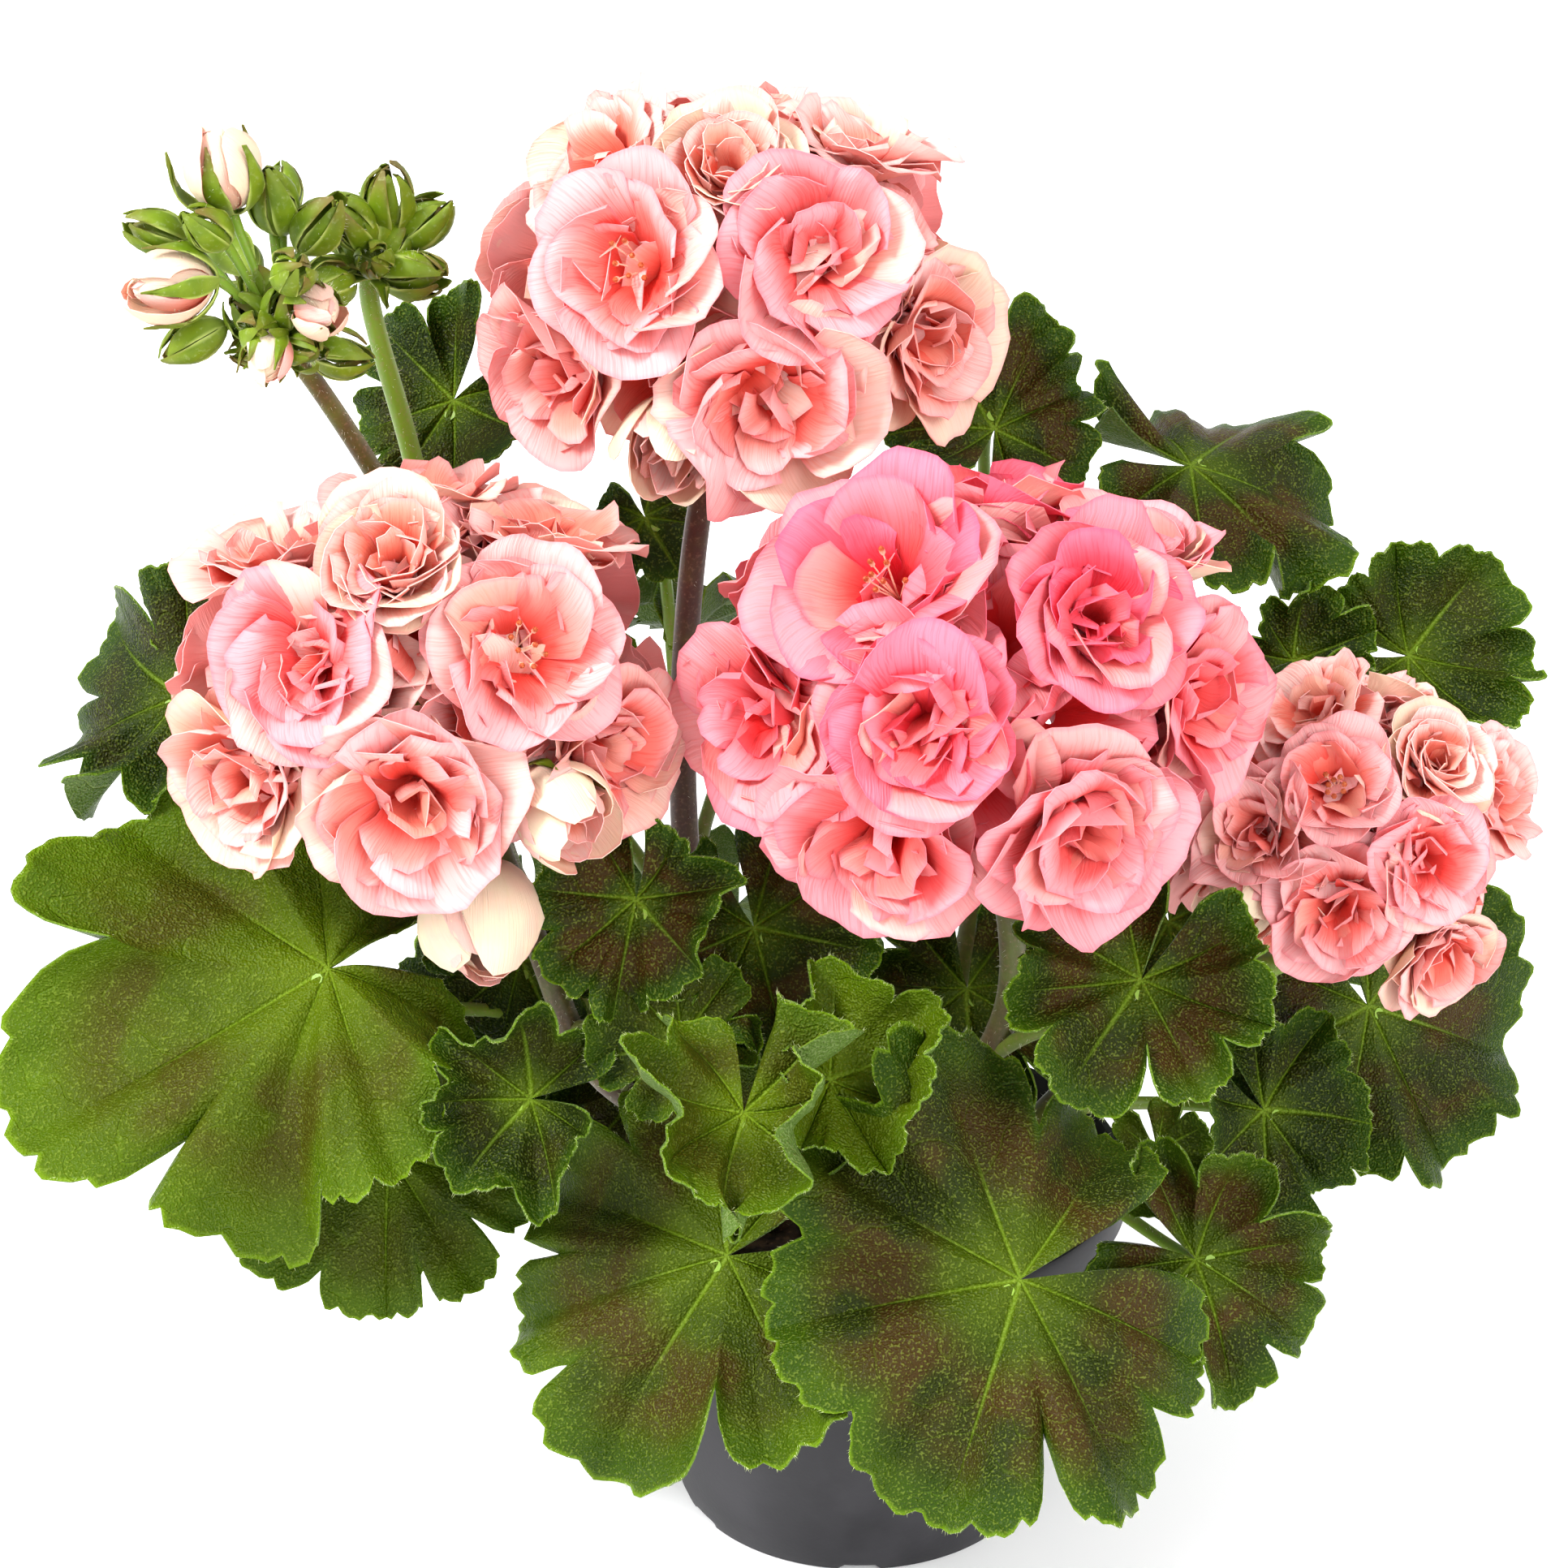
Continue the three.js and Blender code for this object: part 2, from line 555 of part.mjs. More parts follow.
// Sepal: a narrow blade from the end of a bud's stalk up the bud's side to a free tip
function makeSepal(centre, axes, angle, radius, length) {
  const out = outward(axes, angle);
  const side = new THREE.Vector3().crossVectors(axes.normal, out);
  const corners = [
    [0.9, 0, -0.62], [0.8 * radius + 1.1, -0.3 * radius, -0.38], [0.8 * radius + 1.1, 0.3 * radius, -0.38],
    [radius + 1, -0.42 * radius, 0.02], [radius + 1, 0.42 * radius, 0.02], [radius + 0.7, 0, 0.42],
  ];
  const vertices = corners.map(([reach, spread, height]) => centre.clone()
    .addScaledVector(out, reach)
    .addScaledVector(side, spread)
    .addScaledVector(axes.normal, height * length));
  return plate(vertices, [[0, 2, 1], [1, 2, 4], [1, 4, 3], [3, 4, 5]], PETAL_THICKNESS);
}

// Rings of a floret, from its root in the head up the outside to the notched rim, and down the inside
// to the throat, where a small inner cup stands
const PLAIN_RIM = [[0, 0.76, 0.24], [0.5, 0.98, 0.42]];
const FULL_RIM = [[0, 0.8, 0.24], [0.27, 0.95, 0.4], [0.73, 0.95, 0.4]];
const ROOT = [[0.5, 0.36, -0.72]];
const INSIDE = [[[0.5, 0.56, -0.1]], [[0.5, 0.3, -0.26]], [[0.5, 0.36, 0.16]]];

function makeFloret(centre, turn, rise, radius, random) {
  const axes = facing(turn, rise);
  const start = random() * Math.PI;
  const rim = radius > SMALL_FLORET ? FULL_RIM : PLAIN_RIM;
  const ripples = Array.from({ length: PETALS * 4 }, () => (random() - 0.5) * RIPPLE);
  const wall = PETAL_THICKNESS / radius;
  const thinner = (ring) => ring.map(([share, reach, height]) => [share, reach - wall * 0.5, height + wall]);
  const rippled = (petal, share) => ripples[petal * 4 + Math.round(share * 3)];
  const still = () => 0;
  const rings = [
    [ROOT, still], [rim, rippled], [thinner(rim), rippled],
    [INSIDE[0], still], [INSIDE[1], still], [INSIDE[2], still],
  ].map(([ring, ripple]) => ringPoints(centre, axes, start, PETALS, ring, radius, ripple));
  const firsts = rings.map((_, i) => rings.slice(0, i).reduce((sum, ring) => sum + ring.length, 0));
  const flip = ([p, q, r]) => [p, r, q];
  const triangles = [
    ...ringTriangles(rings[0], firsts[0], rings[1], firsts[1], PETALS),
    ...ringTriangles(rings[3], firsts[3], rings[2], firsts[2], PETALS).map(flip),
    ...ringTriangles(rings[3], firsts[3], rings[4], firsts[4], PETALS),
    ...ringTriangles(rings[4], firsts[4], rings[5], firsts[5], PETALS),
  ];
  const count = rings[1].length;
  for (let i = 0; i < count; i++) {
    const next = (i + 1) % count;
    const [low, high] = [firsts[1], firsts[2]];
    triangles.push([low + i, low + next, high + next], [low + i, high + next, high + i]);
  }
  for (let i = 1; i + 1 < PETALS; i++) {
    triangles.push([0, i + 1, i]);
  }
  const vertices = [...rings.flat(), centre.clone().addScaledVector(axes.normal, 0.02 * radius)];
  for (let i = 0; i < PETALS; i++) {
    triangles.push([firsts[5] + i, firsts[5] + ((i + 1) % PETALS), vertices.length - 1]);
  }
  return solidOf(vertices, triangles);
}

function makeHead(head, seed) {
  const random = draws(seed);
  const core = new THREE.IcosahedronGeometry(1, 0);
  core.scale(...head.half.map((half) => half * CORE_SHARE)).translate(...head.at);
  const petals = [solidFrom(core)];
  for (const [turn, rise, radius] of head.florets) {
    const way = direction(turn, rise);
    const place = vector(head.at);
    place.x += way.x * head.half[0] * FLORET_SHARE;
    place.y += way.y * head.half[1] * FLORET_SHARE;
    place.z += way.z * head.half[2] * FLORET_SHARE;
    petals.push(makeFloret(place, turn, rise, radius, random));
  }
  return join(petals);
}

// Bud in a head: an egg of wrapped petals, parted at the tip where it opens, on a short stalk of its own
function budStalk(bud, wider) {
  const { at, half } = HEADS[bud.head];
  const base = vector(bud.at).addScaledVector(direction(bud.turn, bud.rise), -0.34 * bud.length);
  const root = base.clone().sub(vector(at)).setLength(BUD_ROOT_SHARE * half[0] - wider).add(vector(at));
  const radius = BUD_STALK_RADIUS + wider;
  return bar([root, base], [radius, radius], STALK_SIDES);
}

function makeHeadBud(bud) {
  const axes = facing(bud.turn, bud.rise);
  const centre = vector(bud.at);
  const coreLength = bud.length * (bud.open ? 0.84 : 0.97);
  const core = egg(centre, axes.normal, bud.radius * 0.85, coreLength, 6, 3);
  const pieces = [core, budStalk(bud, 0)];
  for (let i = 0; i < BUD_PETALS; i++) {
    const angle = (2 * Math.PI * i) / BUD_PETALS;
    pieces.push(makePetal(centre, axes, angle, BUD_PETAL_CORNERS, bud.radius, PETAL_THICKNESS));
  }
  return join(pieces);
}

// What a bud needs cut away from its head
function headBudHole(bud) {
  const wider = 1.9;
  const { normal } = facing(bud.turn, bud.rise);
  const hole = egg(vector(bud.at), normal, bud.radius + wider, bud.length + 2 * wider, 8, 5);
  return hole.add(budStalk(bud, 1.4 * CLEARANCE));
}

function creamBud([x, y, z, turn, rise, radius, length]) {
  return egg(new THREE.Vector3(x, y, z), direction(turn, rise), radius, length, 6, 3);
}

// Green bud on its own short stalk, in one piece
function greenBud(root, middle, axis, radius, length) {
  const along = (share) => middle.clone().addScaledVector(axis, share * length);
  return bar([root, along(-0.5), along(0.05), along(0.5)], [0.8, 1.3, radius, 0.6], STALK_SIDES);
}

// Cluster of buds: a hairy stalk that ends in a knot, with a bud on each of the short stalks round it
function makeCluster(cluster) {
  const curve = new THREE.CatmullRomCurve3(cluster.stalk.map(vector), false, 'centripetal');
  const hub = vector(cluster.stalk[cluster.stalk.length - 1]);
  const pieces = [
    taperedBar(curve, stemSteps(curve), PEDUNCLE_RADIUS, STALK_RADIUS, STEM_SIDES),
    egg(hub, UP, KNOT_RADIUS, 2 * KNOT_RADIUS, STALK_SIDES, 2),
  ];
  const rootOf = (middle) => hub.clone().lerp(middle, 0.05);
  for (const [x, y, z, turn, rise, radius, length] of cluster.green) {
    const middle = new THREE.Vector3(x, y, z);
    pieces.push(greenBud(rootOf(middle), middle, direction(turn, rise), radius, length));
  }
  for (const [x, y, z, turn, rise, radius, length] of cluster.cream) {
    const middle = new THREE.Vector3(x, y, z);
    const axes = facing(turn, rise);
    const foot = middle.clone().addScaledVector(axes.normal, -0.72 * length);
    const seat = middle.clone().addScaledVector(axes.normal, -(EGG_FOOT * length + CLEARANCE));
    pieces.push(bar([rootOf(middle), foot, seat], [0.8, 1.3, 1.9], STALK_SIDES));
    for (let i = 0; i < SEPALS; i++) {
      pieces.push(makeSepal(middle, axes, (2 * Math.PI * i) / SEPALS, radius, length));
    }
  }
  return join(pieces);
}

// Looks
const potLook = new THREE.MeshStandardMaterial({ color: 0x45444a, roughness: 0.7, metalness: 0 });
const soilLook = new THREE.MeshStandardMaterial({ color: 0x3a2a20, roughness: 1, metalness: 0 });
const leafLook = new THREE.MeshStandardMaterial({ color: 0x3f6a1c, roughness: 0.55, metalness: 0 });
const salmonLook = new THREE.MeshStandardMaterial({ color: 0xf29a9c, roughness: 0.6, metalness: 0 });
const pinkLook = new THREE.MeshStandardMaterial({ color: 0xec7f90, roughness: 0.6, metalness: 0 });
const creamLook = new THREE.MeshStandardMaterial({ color: 0xefe3bd, roughness: 0.6, metalness: 0 });

// A stem with its leaves, and the hole that it needs in what it goes through
function stemCurve(name) {
  return new THREE.CatmullRomCurve3(STEMS[name].map(vector), false, 'centripetal');
}

function stemSteps(curve) {
  return Math.round(curve.getLength() / STEM_STEP);
}

function pointAtHeight(curve, height) {
  const points = curve.getPoints(200);
  return points.find((point) => point.z >= height) ?? points[points.length - 1];
}

function makeShoot(name, seed) {
  const curve = stemCurve(name);
  const pieces = [taperedBar(curve, stemSteps(curve), TRUNK_RADIUS, PEDUNCLE_RADIUS, STEM_SIDES)];
  LEAVES[name].forEach((leaf, i) => {
    pieces.push(makePetiole(leaf, pointAtHeight(curve, leaf.from)));
    pieces.push(makeBlade({ ...USUAL_LEAF, ...leaf, seed: seed + i }));
  });
  return join(pieces);
}

function stemHole(name) {
  const curve = stemCurve(name);
  const wider = 1.4 * CLEARANCE;
  return taperedBar(curve, stemSteps(curve), TRUNK_RADIUS + wider, PEDUNCLE_RADIUS + wider, STEM_SIDES);
}

const plant = new THREE.Group();
const stemNames = Object.keys(STEMS);
addMesh(plant, 'pot', makePot(), potLook);
const soil = stemNames.reduce((whole, name) => whole.subtract(stemHole(name)), makeSoil());
addMesh(plant, 'soil', soil, soilLook);
const clusters = join(Object.values(CLUSTERS).map(makeCluster));
stemNames.forEach((name, i) => {
  const shoot = makeShoot(name, 10 * i + 1);
  addMesh(plant, `shoot_${name}`, name === 'left' ? shoot.add(clusters) : shoot, leafLook);
});
Object.entries(HEADS).forEach(([key, head], i) => {
  const buds = Object.values(HEAD_BUDS).filter((bud) => bud.head === key);
  const whole = makeHead(head, 100 + i).subtract(stemHole(head.stem));
  const petals = buds.reduce((rest, bud) => rest.subtract(headBudHole(bud)), whole);
  addMesh(plant, `petals_${key}`, petals, key === 'c' ? pinkLook : salmonLook);
});
Object.entries(HEAD_BUDS).forEach(([name, bud]) => {
  addMesh(plant, `bud_${name}`, makeHeadBud(bud), creamLook);
});
Object.values(CLUSTERS).flatMap((cluster) => cluster.cream).forEach((bud, i) => {
  addMesh(plant, `bud_cream_${i + 1}`, creamBud(bud), creamLook);
});

export default plant;
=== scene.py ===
# Potted rosebud pelargonium: the visual model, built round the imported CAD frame.
# Tables are in millimetres in the CAD frame, and each mesh is scaled to metres when it is finished.
# A turn is measured about Z from the front towards +X, and a rise from the horizontal, in degrees.
import math
import random

import bmesh
import bpy
from mathutils import Matrix, Vector, noise
from mathutils.geometry import interpolate_bezier


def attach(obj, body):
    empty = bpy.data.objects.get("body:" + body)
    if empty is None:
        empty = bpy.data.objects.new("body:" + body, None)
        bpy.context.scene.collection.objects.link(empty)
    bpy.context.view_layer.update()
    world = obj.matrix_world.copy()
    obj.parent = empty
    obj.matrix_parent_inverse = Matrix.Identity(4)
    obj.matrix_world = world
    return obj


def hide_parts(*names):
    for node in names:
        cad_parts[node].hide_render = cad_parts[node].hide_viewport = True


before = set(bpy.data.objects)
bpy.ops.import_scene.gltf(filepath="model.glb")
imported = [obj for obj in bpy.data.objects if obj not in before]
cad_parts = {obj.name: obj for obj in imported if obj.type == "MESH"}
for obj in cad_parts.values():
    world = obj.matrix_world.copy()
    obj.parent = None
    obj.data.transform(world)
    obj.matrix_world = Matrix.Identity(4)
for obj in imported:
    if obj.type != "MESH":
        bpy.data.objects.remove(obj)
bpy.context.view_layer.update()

# Camera: a long lens that looks down a little at the middle of the plant, from straight in front.
# The photograph shows the pot's foot at its lower edge and the whole plant above it.
MM = 0.001
VIEW_TARGET = Vector((-18.2, 0, 190)) * MM
VIEW_DISTANCE = 1.0
VIEW_PITCH = math.radians(25)
VIEW_LENS = 98.6
FILM_WIDTH = 36


def linked(name, data):
    """A new object in the scene"""
    thing = bpy.data.objects.new(name, data)
    bpy.context.scene.collection.objects.link(thing)
    return thing


camera_data = bpy.data.cameras.new("camera")
camera_data.lens = VIEW_LENS
camera_data.sensor_width = FILM_WIDTH
camera = linked("camera", camera_data)
back_along_view = Vector((0, -math.cos(VIEW_PITCH), math.sin(VIEW_PITCH)))
camera.location = VIEW_TARGET + back_along_view * VIEW_DISTANCE
camera.rotation_euler = (math.pi / 2 - VIEW_PITCH, 0, 0)
bpy.context.scene.camera = camera

# Studio: a wide pale floor under a bright even sky, with a large soft light from high on the left
# and a weaker one from the right, as for a plant that is photographed on a white sweep. Each lamp
# has the place it shines from, its strength and how wide its light is, in degrees.
FLOOR_HALF = 4
FLOOR_GLOW = 0.14
SKY_STRENGTH = 1.12
LAMPS = {"key": ((-0.75, -0.4, 0.9), 5.4, 20), "fill": ((0.7, -0.8, 0.6), 2.2, 40)}


class Finish:
    """A procedural material, whose nodes are added with their settings and inputs in one call"""

    def __init__(self, name):
        self.material = bpy.data.materials.new(name)
        self.material.use_nodes = True
        self.tree = self.material.node_tree
        self.tree.nodes.clear()

    def add(self, kind, inputs, output=0, **settings):
        node = self.tree.nodes.new("ShaderNode" + kind)
        for setting, value in settings.items():
            setattr(node, setting, value)
        for socket, value in inputs.items():
            if isinstance(value, bpy.types.NodeSocket):
                self.tree.links.new(value, node.inputs[socket])
            else:
                node.inputs[socket].default_value = value
        return node.outputs[output]

    def mark(self, name):
        return self.add("Attribute", {}, "Fac", attribute_name=name)

    def place(self):
        return self.add("TexCoord", {}, "Object")

    def math(self, operation, first, second=0.0, third=0.0):
        return self.add("Math", {0: first, 1: second, 2: third}, operation=operation)

    def step(self, value, low, high, start=0.0, end=1.0):
        """A smooth change from start to end while value goes from low to high"""
        inputs = {"Value": value, "From Min": low, "From Max": high, "To Min": start, "To Max": end}
        return self.add("MapRange", inputs, interpolation_type="SMOOTHSTEP")

    def mix(self, share, first, second):
        return self.add("Mix", {0: share, 6: first, 7: second}, 2, data_type="RGBA")

    def noise(self, where, scale, detail=3.0):
        return self.add("TexNoise", {"Vector": where, "Scale": scale, "Detail": detail})

    def cells(self, where, scale):
        return self.add("TexVoronoi", {"Vector": where, "Scale": scale}, "Distance")

    def bump(self, height, depth, strength=1.0):
        return self.add("Bump", {"Height": height, "Distance": depth, "Strength": strength})

    def surface(self, colour, inputs, glow=None, glow_share=0.0):
        """The main shader, with some light let through where the piece is thin"""
        shader = self.add("BsdfPrincipled", {"Base Color": colour, **inputs})
        if glow is not None:
            through = self.add("BsdfTranslucent", {"Color": glow})
            shader = self.add("MixShader", {0: glow_share, 1: shader, 2: through})
        output = self.tree.nodes.new("ShaderNodeOutputMaterial")
        self.tree.links.new(shader, output.inputs["Surface"])
        return self.material


def tint(red, green, blue):
    """A colour from its red, green and blue on a screen, 0 to 255"""
    return (*[((v / 255 + 0.055) / 1.055) ** 2.4 for v in (red, green, blue)], 1.0)


sweep = Finish("floor_paint")
sweep_tone = sweep.noise(sweep.place(), 40.0)
sweep_paint = sweep.surface(
    sweep.mix(sweep_tone, tint(243, 243, 244), tint(247, 247, 247)),
    {"Roughness": 0.9, "Emission Color": tint(255, 255, 255), "Emission Strength": FLOOR_GLOW},
)
floor_mesh = bmesh.new()
bmesh.ops.create_grid(floor_mesh, x_segments=1, y_segments=1, size=FLOOR_HALF)
floor_data = bpy.data.meshes.new("floor")
floor_mesh.to_mesh(floor_data)
floor_mesh.free()
floor_data.materials.append(sweep_paint)
linked("floor", floor_data)

sky = bpy.data.worlds.new("sky")
sky.use_nodes = True
sky_light = sky.node_tree.nodes["Background"].inputs
sky_light["Color"].default_value = tint(252, 252, 255)
sky_light["Strength"].default_value = SKY_STRENGTH
bpy.context.scene.world = sky
bpy.context.scene.view_settings.view_transform = "Standard"
for name, (place, strength, width) in LAMPS.items():
    lamp_data = bpy.data.lights.new(name, "SUN")
    lamp_data.angle = math.radians(width)
    lamp_data.energy = strength
    lamp = linked(name, lamp_data)
    lamp.location = place
    lamp.rotation_euler = Vector(place).to_track_quat("Z", "Y").to_euler()

# Pot: a thin tapered nursery pot of matt charcoal plastic, moulded in one piece, with a straight
# band at the rim, drainage channels that leave notches in its foot, and a hole in each channel.
POT_RIM_RADIUS = 65
POT_BASE_RADIUS = 44
POT_HEIGHT = 89
POT_WALL = 1.8
POT_FLOOR = 3.4
POT_STEPS = 156
RIM_BAND_HEIGHT = 9
RIM_STEP = 1.6
RIM_THICKNESS = 2.6
BASE_BEVEL = 1.5
CHANNEL_COUNT = 6
CHANNEL_HALF_WIDTH = 4.5
CHANNEL_DEPTH = 1.8
CHANNEL_START = 26
DRAIN_RADIUS = 3.2
DRAIN_PLACE = 35
WALL_HEIGHTS = (3, 8, 30, 55)
CREASE = math.radians(48)
MERGE_GAP = 0.01


def make_piece(bm, name, material, slot, *nodes):
    """The finished piece: its mesh in metres, its material, what it rides on and what it replaces"""
    bmesh.ops.scale(bm, vec=(MM, MM, MM), verts=bm.verts)
    for face in bm.faces:
        face.smooth = True
    for edge in bm.edges:
        edge.smooth = edge.calc_face_angle(0) < CREASE
    data = bpy.data.meshes.new(name)
    bm.to_mesh(data)
    bm.free()
    data.materials.append(material)
    piece = linked(name, data)
    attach(piece, "root")
    if nodes:
        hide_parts(*nodes)


def turned(bm, outline, steps):
    """A round piece turned about Z from its outline of radius and height"""
    corners = [bm.verts.new((radius, 0, height)) for radius, height in outline]
    sides = [bm.edges.new(pair) for pair in zip(corners, corners[1:])]
    bmesh.ops.spin(
        bm, geom=corners + sides, cent=(0, 0, 0), axis=(0, 0, 1), angle=2 * math.pi, steps=steps,
        use_merge=True,
    )
    bmesh.ops.remove_doubles(bm, verts=bm.verts, dist=MERGE_GAP)
    bmesh.ops.recalc_face_normals(bm, faces=bm.faces)


def pot_radius(height):
    return POT_BASE_RADIUS + (POT_RIM_RADIUS - RIM_STEP - POT_BASE_RADIUS) * height / POT_HEIGHT


def in_channel(place):
    """Whether a place under the pot lies in one of the channels"""
    sector = 2 * math.pi / CHANNEL_COUNT
    offset = (math.atan2(place.y, place.x) % sector) - sector / 2
    reach = math.hypot(place.x, place.y)
    along, aside = reach * math.cos(offset), reach * math.sin(offset)
    return along > CHANNEL_START and abs(aside) < CHANNEL_HALF_WIDTH


# The outline runs out under the floor, with rings close together round the holes, up the wall, over
# the rim band with its rounded edges, and back down inside
band_foot = POT_HEIGHT - RIM_BAND_HEIGHT
rim_inside = POT_RIM_RADIUS - RIM_THICKNESS
floor_rings = [0, 12, CHANNEL_START - 1, CHANNEL_START + 1]
floor_rings += [DRAIN_PLACE + step for step in (-4.5, -2.5, -1, 0, 1, 2.5, 4.5)]
pot_outline = [(r, 0) for r in floor_rings]
pot_outline += [(POT_BASE_RADIUS - BASE_BEVEL, 0), (POT_BASE_RADIUS - 0.4, 0.4)]
pot_outline += [(POT_BASE_RADIUS, BASE_BEVEL)]
pot_outline += [(pot_radius(z), z) for z in (*WALL_HEIGHTS, band_foot - 3, band_foot)]
pot_outline += [(POT_RIM_RADIUS - 0.7, band_foot + 0.2), (POT_RIM_RADIUS, band_foot + 0.9)]
pot_outline += [(POT_RIM_RADIUS, POT_HEIGHT - 0.9), (POT_RIM_RADIUS - 0.5, POT_HEIGHT)]
pot_outline += [(rim_inside + 0.5, POT_HEIGHT), (rim_inside, POT_HEIGHT - 0.8)]
pot_outline += [(pot_radius(z) - POT_WALL, z) for z in (band_foot, 50, 20, POT_FLOOR + 2)]
pot_outline += [(pot_radius(POT_FLOOR) - POT_WALL - 1.5, POT_FLOOR)]
pot_outline += [(r, POT_FLOOR) for r in reversed(floor_rings)]

pot = bmesh.new()
turned(pot, pot_outline, POT_STEPS)
for vert in pot.verts:
    if vert.co.z < CHANNEL_DEPTH and in_channel(vert.co):
        vert.co.z = CHANNEL_DEPTH
for i in range(CHANNEL_COUNT):
    turn = (i + 0.5) * 2 * math.pi / CHANNEL_COUNT
    drain = Vector((math.cos(turn), math.sin(turn), 0)) * DRAIN_PLACE
    near = [f for f in pot.faces if (f.calc_center_median() - drain).xy.length < DRAIN_RADIUS]
    holed = [f for f in near if f.calc_center_median().z < POT_FLOOR + 1]
    bmesh.ops.delete(pot, geom=holed, context="FACES")
    edges = [e for e in pot.edges if e.is_boundary]
    for vert in {v for e in edges for v in e.verts}:
        vert.co.xy = drain.xy + (vert.co - drain).xy.normalized() * DRAIN_RADIUS
    bmesh.ops.bridge_loops(pot, edges=edges)
bmesh.ops.recalc_face_normals(pot, faces=pot.faces)

plastic = Finish("charcoal_plastic")
grain = plastic.noise(plastic.place(), 900.0)
scuffs = plastic.noise(plastic.place(), 45.0, 6.0)
plastic_tone = plastic.mix(plastic.step(scuffs, 0.35, 0.75), tint(37, 36, 39), tint(54, 53, 56))
pot_plastic = plastic.surface(plastic_tone, {
    "Roughness": plastic.step(scuffs, 0.3, 0.8, 0.42, 0.6), "Specular IOR Level": 0.22,
    "Normal": plastic.bump(grain, 0.0001, 0.35),
})
make_piece(pot, "nursery_pot", pot_plastic, "pot_plastic", "pot")

# Soil: dark brown peat with bark crumbs, which fills the pot to a little below the rim, is heaped
# slightly towards the middle and has sunk where it meets the wall.
SOIL_LEVEL = 79
SOIL_CROWN = 3
SOIL_STEPS = 96
SOIL_RINGS = 26
SOIL_GAP = 0.45
SINK_WIDTH = 5
SINK_SLOPE = 20
LUMP_HEIGHT = 1.1
CRUMBS = 420
CRUMB_SIZES = (0.7, 2.2)


def soil_height(radius):
    """The level of the soil's top at a distance from its middle"""
    share = radius / (pot_radius(SOIL_LEVEL) - SINK_WIDTH)
    if share < 1:
        return SOIL_LEVEL + SOIL_CROWN * (1 - share ** 2)
    return SOIL_LEVEL - SINK_SLOPE * (share - 1)


def soil_radius(height):
    return pot_radius(height) - POT_WALL - SOIL_GAP


soil_edge = soil_radius(SOIL_LEVEL)
soil_foot = POT_FLOOR + SOIL_GAP
top_radii = [soil_edge * (1 - (i / SOIL_RINGS) ** 1.1) for i in range(SOIL_RINGS + 1)]
soil_outline = [(0, soil_foot), (soil_radius(soil_foot) - SOIL_GAP - 1, soil_foot)]
soil_outline += [(soil_radius(z), z) for z in (soil_foot + 2, 40, SOIL_LEVEL - 4)]
soil_outline += [(r, soil_height(r)) for r in top_radii]
soil = bmesh.new()
turned(soil, soil_outline, SOIL_STEPS)
for vert in soil.verts:
    if vert.co.z > SOIL_LEVEL - 3.5:
        vert.co.z += LUMP_HEIGHT * (noise.noise(vert.co * 0.16) + 0.6 * noise.noise(vert.co * 0.5))
dice = random.Random(4)
for i in range(CRUMBS):
    reach = (soil_edge - 1.5) * math.sqrt(dice.random())
    turn = dice.uniform(0, 2 * math.pi)
    size = dice.uniform(*CRUMB_SIZES) * dice.uniform(0.6, 1)
    spot = Matrix.Translation((reach * math.cos(turn), reach * math.sin(turn), soil_height(reach) + 0.3))
    crumb = bmesh.ops.create_icosphere(soil, subdivisions=1, radius=size, matrix=spot)["verts"]
    stretch = Vector((dice.uniform(0.7, 1.6), dice.uniform(0.7, 1.2), dice.uniform(0.5, 0.9)))
    bmesh.ops.scale(soil, vec=stretch, space=spot.inverted(), verts=crumb)
    for vert in crumb:
        vert.co += noise.noise_vector(vert.co * 0.9) * size * 0.35

peat = Finish("peat")
peat_lumps = peat.noise(peat.place(), 260.0, 6.0)
peat_bits = peat.cells(peat.place(), 420.0)
peat_tone = peat.mix(peat.step(peat_lumps, 0.35, 0.7), tint(34, 23, 17), tint(86, 62, 44))
peat_tone = peat.mix(peat.step(peat_bits, 0.12, 0.3, 0.5, 0.0), peat_tone, tint(122, 92, 64))
peat_relief = peat.bump(peat.math("ADD", peat_lumps, peat_bits), 0.0006, 0.8)
potting_soil = peat.surface(peat_tone, {"Roughness": 0.95, "Normal": peat_relief})
make_piece(soil, "peat_and_bark", potting_soil, "potting_soil", "soil")

# Stems: six hairy stems, woody brown at the foot and greener above. Four of them end in a straight
# flower stalk. The stalk of each leaf leaves its stem, rises, bends out and meets the blade behind.
STEMS = {
    "front_left": [
        (-18, -15, 66), (-20, -16, 82), (-34, -22, 104), (-62, -30, 131), (-75, -35, 168), (-88, -35, 208),
    ],
    "left": [(-27, 4, 66), (-29, 4, 82), (-56, 2, 118), (-82, 2, 165), (-97, 6, 215)],
    "front": [(4, -22, 66), (5, -23, 82), (18, -30, 112), (33, -36, 150), (32, -42, 180), (24, -45, 208)],
    "right": [(27, -4, 66), (30, -4, 82), (52, -3, 112), (82, -4, 138), (104, -9, 152), (112, -10, 166)],
    "back_left": [
        (-15, 20, 66), (-17, 20, 82), (-36, 18, 122), (-42, 13, 180), (-38, 15, 250), (-30, 11, 284),
    ],
    "back_right": [(16, 21, 66), (18, 23, 82), (26, 40, 118), (34, 52, 160), (40, 60, 200)],
}
